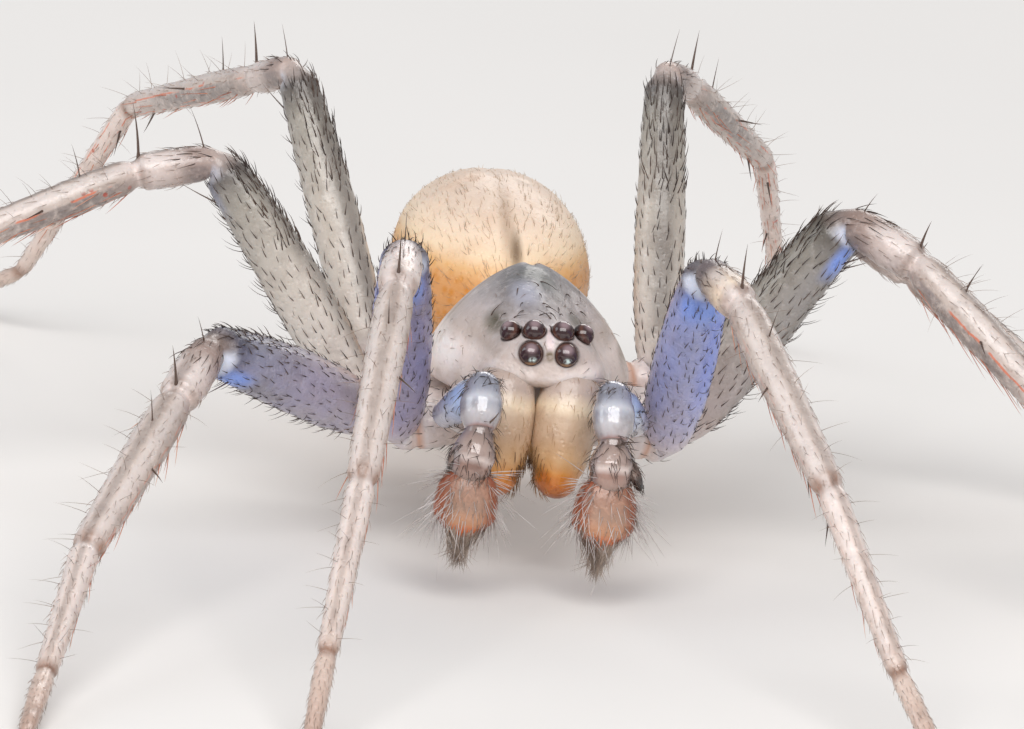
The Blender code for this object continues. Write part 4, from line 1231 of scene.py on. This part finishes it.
def abdomen_skin():
    a = blunt_stations(ABDOMEN_HALF[1], 0.6, lambda a: ABDOMEN_POWER + 0 * a, 110)
    across, upward = ring_angles(120)
    size = blunt(a, ABDOMEN_POWER)
    height = ABDOMEN_MIDDLE[2] - 0.07 * smooth(0.2, -1.0, a) + 0.02 * a
    skin = Skin(np.stack([
        ABDOMEN_MIDDLE[0] + ABDOMEN_HALF[0] * size * (1 + 0.05 * a) * across,
        ABDOMEN_MIDDLE[1] + ABDOMEN_HALF[1] * a + 0 * across,
        height + ABDOMEN_HALF[2] * size * upward,
    ], -1))
    points = skin.rings
    x, y, z = (points[..., axis] for axis in range(3))
    # A furrow along the back, three pairs of pits and slight waves
    amount = -0.012 * bell(x - ABDOMEN_MIDDLE[0], 0.05) * smooth(1.3, 1.6, z)
    for share in (-0.35, 0.05, 0.42):
        for side in SIDES.values():
            place = (ABDOMEN_MIDDLE[0] + side * 0.17, ABDOMEN_MIDDLE[1] + share * 0.9, 1.72)
            amount -= lump(points, place, (0.035, 0.035, 0.2), 0.010)
    amount += 0.004 * np.sin(y * 17) * np.sin(z * 11)
    return skin.push(amount)


def oval_skin(middle, half, power=2.0, taper=0.0, sides=48, count=40):
    """A blunt oval body with its ends along Y, narrower behind by the taper."""
    a = blunt_stations(half[1], half[0], lambda a: power + 0 * a, count)
    across, upward = ring_angles(sides)
    size = blunt(a, power)
    narrow = 1 - taper * smooth(-0.3, 1.0, a)
    x, y, z = half[0] * size * narrow * across, half[1] * a + 0 * across, half[2] * size * upward
    return Skin(np.stack([x, y, z], -1) + np.asarray(middle))


def make_body():
    carapace = carapace_skin()
    skin_object("carapace_skin", carapace, CARAPACE_LOOK, "carapace", "carapace")
    abdomen = abdomen_skin()
    skin_object("abdomen_skin", abdomen, ABDOMEN_LOOK, "abdomen", "abdomen")
    sternum = oval_skin(STERNUM_MIDDLE, STERNUM_HALF, 2.6, 0.38, 64, 56)
    skin_object("sternum_skin", sternum, STERNUM_LOOK, "carapace", "sternum")
    skin_object("labium_skin", oval_skin(LABIUM_MIDDLE, LABIUM_HALF), MOUTH_LOOK, "mouthparts", "labium")
    stalk = limb(PEDICEL, even(PEDICEL_RADII, chain_length(PEDICEL)))
    skin_object("pedicel_skin", stalk, PEDICEL_LOOK, "carapace", "pedicel")
    return carapace, abdomen, sternum


def lens(centre, radius, aim):
    """A ball of rings from its front pole back, so that its map runs out from the middle."""
    t = np.linspace(0.02, 0.98, 40) * math.pi
    centres = centre + aim * (np.cos(t) * radius)[:, None]
    top = unit(UP - aim * (aim @ UP))
    sine, cosine = ring_angles(48)
    ring = top * cosine.T + np.cross(-aim, top) * sine.T
    return Skin(centres[:, None] + ring[None] * (np.sin(t) * radius)[:, None, None])


def make_eyes():
    glossy = eye_look("eye_lens", ("ple", "pme"), False)
    lit = eye_look("eye_lens_front", ("ale",), True)
    for key, side, kind, place, radius in ALL_EYES:
        skin = lens(place, radius * 1.10, unit(np.array(EYE_AIMS[kind]) * (side, 1, 1)))
        eye = f"eye_{key}_{kind}"
        skin_object(f"{eye}_lens", skin, lit if kind == "ale" else glossy, "eyes", eye)


def make_spinnerets():
    made = [oval_skin(SPINNERET_ROOT, (0.13, 0.10, 0.11))]
    for side in SIDES.values():
        for across, rise, share in ((0.045, -0.045, 1.0), (0.075, 0.02, 0.8), (0.035, 0.06, 0.75)):
            root = SPINNERET_ROOT + np.array((side * across, -0.02, rise))
            aim = unit((side * 0.25, 1.0, -0.45 + rise * 4))
            length, radius = SPINNERET_LENGTH * share, SPINNERET_RADIUS * share
            profile = ((0, 1.0), (0.45, 0.92), (0.6, 0.72), (0.75, 0.66), (0.92, 0.42))
            stations = [(length * place, radius * size) for place, size in profile]
            made.append(limb((root, root + aim * length), stations, 20, 24, start=False))
    skin_object("spinneret_skin", made, SPINNERET_LOOK, "abdomen", "spinnerets")


# Mouth


def mouth_path(points, side):
    path = []
    for x, y, z in points:
        share = (CHELICERA_TOP[2] - z) / (CHELICERA_TOP[2] - CHELICERA_END[2])
        path.append(np.array((side * x + mix(*MOUTH_SHIFT, share), y, z)))
    return path


def chelicera_skin(path, side):
    skin = limb(path, CHELICERA_STATIONS, 56, 60, reference=FORWARD)
    points = skin.rings
    # A boss on the outer side of its top and a hollow inside its end
    amount = lump(points, path[0] + np.array((side * 0.12, -0.10, -0.06)), (0.06, 0.06, 0.07), 0.010)
    amount -= lump(points, path[1] + np.array((-side * 0.05, 0.03, -0.11)), (0.10, 0.08, 0.05), 0.014)
    return skin.push(amount)


def make_mouth():
    """The skin and the line of each chelicera, for its setae."""
    found = {}
    for key, side in SIDES.items():
        path = mouth_path((CHELICERA_TOP, CHELICERA_END), side)
        skin = chelicera_skin(path, side)
        skin_object(f"chelicera_{key}_skin", skin, CHELICERA_LOOK, "mouthparts", f"chelicera_{key}")
        found[key] = (skin, path)
        line = mouth_path(FANG_PATH, side)
        fang = limb(line, even(FANG_RADII, chain_length(line)), 20, 26, reference=FORWARD, window=0.05)
        skin_object(f"fang_{key}_skin", fang, FANG_LOOK, "mouthparts", f"fang_{key}")
    return found


# Palps


def palp_frame(key):
    """Start, length and three directions of a cymbium: down it, across it and out from its back."""
    start, tip = np.array(PALP[key]["cymbium"]), np.array(PALP[key]["tip"])
    down = unit(tip - start)
    across = unit(np.cross(down, FORWARD))
    return start, float(np.linalg.norm(tip - start)), down, across, np.cross(across, down)


def cymbium_skin(key):
    start, length, down, _, outward = palp_frame(key)
    a = blunt_stations(length / 2, 0.17, lambda a: CYMBIUM_POWER + 0 * a, 70)
    # The ring turns from outward to across, so that it runs the right way round its axis.
    sine, cosine = ring_angles(56)
    size = blunt(a, CYMBIUM_POWER)
    share = (a + 1) / 2
    narrow = mix(1.0, 0.42, smooth(0.62, 0.95, share))
    width = CYMBIUM_HALF[0] * narrow * size * sine
    depth = CYMBIUM_HALF[1] * narrow * size * cosine
    rings = start + (length * share + 0 * sine)[..., None] * down
    skin = Skin(rings + width[..., None] * np.cross(down, outward) + depth[..., None] * outward)
    # The side towards the bulb is drawn in.
    inward = smooth(0.2, 1.0, -cosine + 0 * share) * smooth(0.12, 0.3, share) * smooth(0.95, 0.75, share)
    return skin.push(-0.035 * inward)


def bulb_skins(key, side):
    """The bulb and the coil that lies on it."""
    start, length, down, across, outward = palp_frame(key)
    middle = start + down * length * 0.45 - outward * BULB_OFFSET
    body = oval_skin(middle, BULB_HALF, 2.0, 0.0, 40, 36)
    t = np.linspace(0, 1, 60)
    turn = 0.3 + t * TURN * 1.15
    ring = across * np.cos(turn)[:, None] * side + down * np.sin(turn)[:, None]
    centres = middle + ring * (0.112 * (1 - 0.25 * t)[:, None] * 1.06) - outward * (0.03 + 0.055 * t)[:, None]
    return [body, sweep(centres, 0.020 * (1 - t) ** 0.6 + 0.003, 10, reference=outward)]


def palp_segment(key, part, after):
    points = [np.array(PALP[key][part]), np.array(PALP[key][after])]
    length = chain_length(points)
    radii = PALP_RADII[part]
    collar = radii[-1] * PALP_COLLAR
    stations = even(radii, length)[:-1] + [(length * 0.97, collar), (length + 0.012, collar)]
    return limb(points, stations, 40, 40, reference=FORWARD if part in ("patella", "tibia") else UP)


def apophysis_skin(key, side):
    """The hooked outgrowth on the outer side of a palp's tibia."""
    start, _, down, across, outward = palp_frame(key)
    root = start - across * side * 0.07 - down * 0.09
    aim = unit(down - across * side * APOPHYSIS_LEAN[key])
    t = np.linspace(0, 1, 30)
    bow = across * side * (0.02 * np.sin(t * math.pi))[:, None]
    centres = root + aim * (t * APOPHYSIS_LENGTH)[:, None] - bow
    radii = APOPHYSIS_RADIUS * (1 - 0.55 * t) * (1 - t ** 6) ** 0.5 + 0.002
    return sweep(centres, radii, 20, reference=outward)


def make_palps():
    found = {}
    for key, side in SIDES.items():
        skins = [palp_segment(key, *parts) for parts in zip(PALP_TUBES, (*PALP_TUBES[1:], "cymbium"))]
        skins.append(apophysis_skin(key, side))
        palp = f"palp_{key}"
        skin_object(f"{palp}_skin", skins, PALP_LOOK, "palps", *(f"{palp}_{part}" for part in PALP_TUBES))
        cymbium = cymbium_skin(key)
        skin_object(f"{palp}_cymbium_skin", cymbium, CYMBIUM_LOOK, "palps", f"{palp}_cymbium")
        skin_object(f"{palp}_bulb_skin", bulb_skins(key, side), BULB_LOOK, "palps", f"{palp}_bulb")
        found[key] = (skins, cymbium)
    return found


# Hairs of body, mouth and palps


# Places of the setae between and behind the eyes
CROWN_SETAE = (
    (-0.011, -0.15, 1.638), (-0.008, -0.208, 1.622), (-0.013, -0.294, 1.601), (-0.008, -0.394, 1.570),
    (0.011, -0.422, 1.557), (0.022, -0.479, 1.537), (0.021, -0.549, 1.515), (0.012, -0.620, 1.50),
    (-0.134, -0.222, 1.612), (-0.121, -0.365, 1.561), (0.087, -0.351, 1.542), (0.172, -0.294, 1.498),
    (0.164, -0.121, 1.548), (-0.122, -0.436, 1.533), (-0.186, -0.465, 1.487), (-0.045, -0.521, 1.525),
    (0.241, -0.163, 1.473), (-0.222, -0.379, 1.492), (0.09, -0.45, 1.53), (0.26, -0.40, 1.44),
    (-0.30, -0.30, 1.45),
)


def clear_of_eyes(points):
    """1 on the upper side of the carapace, and 0 on the eyes."""
    free = smooth(1.10, 1.30, points[..., 2])
    for *_, place, radius in ALL_EYES:
        away = np.linalg.norm(points - place, axis=-1)
        free = free * smooth(radius + 0.004, radius + 0.016, away)
    return free


def dress_body(carapace, abdomen, sternum):
    ring, side = carapace.nearest(CROWN_SETAE)
    bristles("crown_setae", carapace, ring, side, 0.074, 0.0052, BLACK_BRISTLE, "carapace",
             rise=58, curl=1.0, sway=45, lie=FORWARD, steps=8)
    coat("carapace_setae", carapace, 60, clear_of_eyes, 0.055, 0.0022, BROWN_BRISTLE, "carapace",
         rise=30, curl=0.5, sway=30, lie=FORWARD)
    coat("abdomen_setae", abdomen, 2100, None, 0.075, 0.0019, COAT_BRISTLE, "abdomen",
         rise=20, curl=0.3, sway=12)
    coat("sternum_setae", sternum, 200, lambda points: smooth(0.80, 0.74, points[..., 2]), 0.08, 0.0030,
         BROWN_BRISTLE, "carapace")


def chelicera_front(points):
    return smooth(-0.66, -0.74, points[..., 1])


def dress_mouth(found):
    for key, (skin, path) in found.items():
        coat(f"chelicera_{key}_setae", skin, 70, chelicera_front, 0.060, 0.0019, GOLD_BRISTLE, "mouthparts",
             rise=20, curl=0.25, sway=16)

        def inner(points, middle=path[1][0], side=SIDES[key]):
            near = smooth(0.06, 0.13, -side * (points[..., 0] - middle))
            return near * smooth(0.92, 0.80, points[..., 2]) * smooth(-0.68, -0.78, points[..., 1])

        coat(f"chelicera_{key}_brush", skin, 90, inner, 0.085, 0.0028, TUFT_BRISTLE, "mouthparts",
             rise=30, curl=0.2, sway=22)


# Strong setae low on the front of each palp's patella: share of its length, how far they sit
# across it, and the way they lie
PATELLA_SETAE = {
    "r": (((0.66, 0.45),), (0.55, 0.0, 0.8)),
    "l": (((0.82, -0.15), (0.80, 0.25)), (1.0, 0.0, 0.15)),
}


def front_place(skin, share, across):
    """The place on the front of a skin at a share of its length."""
    ring = skin.rings[round(share * (len(skin.rings) - 1))]
    middle = ring.mean(axis=0)
    radius = np.linalg.norm(ring - middle, axis=-1).max()
    return middle + unit(np.array((across, -1.0, 0.15))) * radius


def palp_crown(points):
    return smooth(-1.22, -1.05, points[..., 1])


def dress_palps(found):
    for key, (skins, cymbium) in found.items():
        palp = f"palp_{key}"
        _, femur, patella, tibia, hook = skins
        for part, skin, count, keep in (
            ("femur", femur, 110, None), ("patella", patella, 60, palp_crown), ("tibia", tibia, 150, None),
        ):
            coat(f"{palp}_{part}_setae", skin, count, keep, 0.085, 0.0030, BLACK_BRISTLE, "palps",
                 rise=40, curl=0.45, sway=22)
        places, lie = PATELLA_SETAE[key]
        ring, side = patella.nearest([front_place(patella, *place) for place in places])
        bristles(f"{palp}_lone_setae", patella, ring, side, 0.095, 0.0085, BLACK_BRISTLE, "palps",
                 rise=52, curl=0.9, sway=5, lie=np.array(lie), steps=8)
        coat(f"{palp}_hook_setae", hook, 60, None, 0.055, 0.0030, BLACK_BRISTLE, "palps", curl=0.5, sway=30)
        start, length, down, across, _ = palp_frame(key)

        def flanks(points):
            return 0.30 + smooth(0.06, 0.14, np.abs((points - start) @ across))

        def tip(points):
            return smooth(0.66, 0.86, (points - start) @ down / length)

        coat(f"{palp}_long_setae", cymbium, 210, flanks, 0.165, 0.0026, PALE_BRISTLE, "palps",
             rise=42, curl=0.12, sway=22)
        coat(f"{palp}_longest_setae", cymbium, 26, flanks, 0.29, 0.0034, PALE_BRISTLE, "palps",
             rise=50, curl=0.10, sway=20, steps=6)
        coat(f"{palp}_dark_setae", cymbium, 140, None, 0.085, 0.0024, TIP_BRISTLE, "palps",
             rise=24, curl=0.2, sway=16)
        coat(f"{palp}_tip_setae", cymbium, 330, tip, 0.18, 0.0026, TIP_BRISTLE, "palps",
             rise=14, curl=0.1, sway=9, lie=down)


def make_stage():
    """A pale floor and soft lights round it."""
    mesh = bpy.data.meshes.new("floor")
    turns = np.arange(FLOOR_SIDES) / FLOOR_SIDES * TURN
    rim = [(FLOOR_RADIUS * math.cos(t), FLOOR_RADIUS * math.sin(t), 0) for t in turns]
    faces = [(0, 1 + i, 1 + (i + 1) % FLOOR_SIDES) for i in range(FLOOR_SIDES)]
    mesh.from_pydata([(0, 0, 0)] + rim, [], faces)
    look = Look("floor_pale", IOR=1.3, Roughness=0.9)
    look.colour = look.ramp(look.noise(0.15, 3.0), tones((0.3, 233, 231, 228), (0.7, 236, 234, 231)))
    mesh.materials.append(look.finished())
    floor = added("floor", mesh)

    world = bpy.data.worlds.new("studio")
    world.use_nodes = True
    background = world.node_tree.nodes["Background"]
    background.inputs["Color"].default_value = SKY_COLOUR
    background.inputs["Strength"].default_value = SKY_STRENGTH
    bpy.context.scene.world = world

    for name, place, size, power, colour in LIGHTS:
        light = bpy.data.lights.new(name, "AREA")
        light.shape = "RECTANGLE"
        light.size, light.size_y = size[0] * MM, size[1] * MM
        light.energy = power
        light.color = colour
        start = Vector(place) * MM
        turn = (Vector(LIGHT_AIM) * MM - start).to_track_quat("-Z", "Y")
        added(name, light).matrix_world = Matrix.Translation(start) @ turn.to_matrix().to_4x4()
    bpy.context.scene.view_settings.view_transform = "Standard"


def make_camera():
    """The photograph's own view."""
    turn, rise, roll = math.radians(AZIMUTH), math.radians(ELEVATION), math.radians(ROLL)
    right = np.array((math.cos(turn), math.sin(turn), 0))
    back = np.array((math.sin(turn) * math.cos(rise), -math.cos(turn) * math.cos(rise), math.sin(rise)))
    upward = np.cross(back, right)
    across = right * math.cos(roll) + upward * math.sin(roll)
    upright = upward * math.cos(roll) - right * math.sin(roll)
    place = AIM + back * DISTANCE
    place = place - across * (AIM_PIXEL[0] - PICTURE[0] / 2) / PIXELS_A_MM
    place = place - upright * (PICTURE[1] / 2 - AIM_PIXEL[1]) / PIXELS_A_MM
    camera = bpy.data.cameras.new("camera")
    camera.sensor_width = SENSOR
    camera.lens = SENSOR * PIXELS_A_MM * DISTANCE / PICTURE[0]
    camera.clip_start = 0.001
    camera.clip_end = 5.0
    matrix = np.eye(4)
    matrix[:3] = np.stack([across, upright, back, placed(place)], 1)
    obj = added("camera", camera)
    obj.matrix_world = Matrix(matrix.tolist())
    bpy.context.scene.camera = obj


carapace, abdomen, sternum = make_body()
make_eyes()
make_spinnerets()
jaws = make_mouth()
palps = make_palps()
make_legs()
dress_body(carapace, abdomen, sternum)
dress_mouth(jaws)
dress_palps(palps)
make_stage()
make_camera()
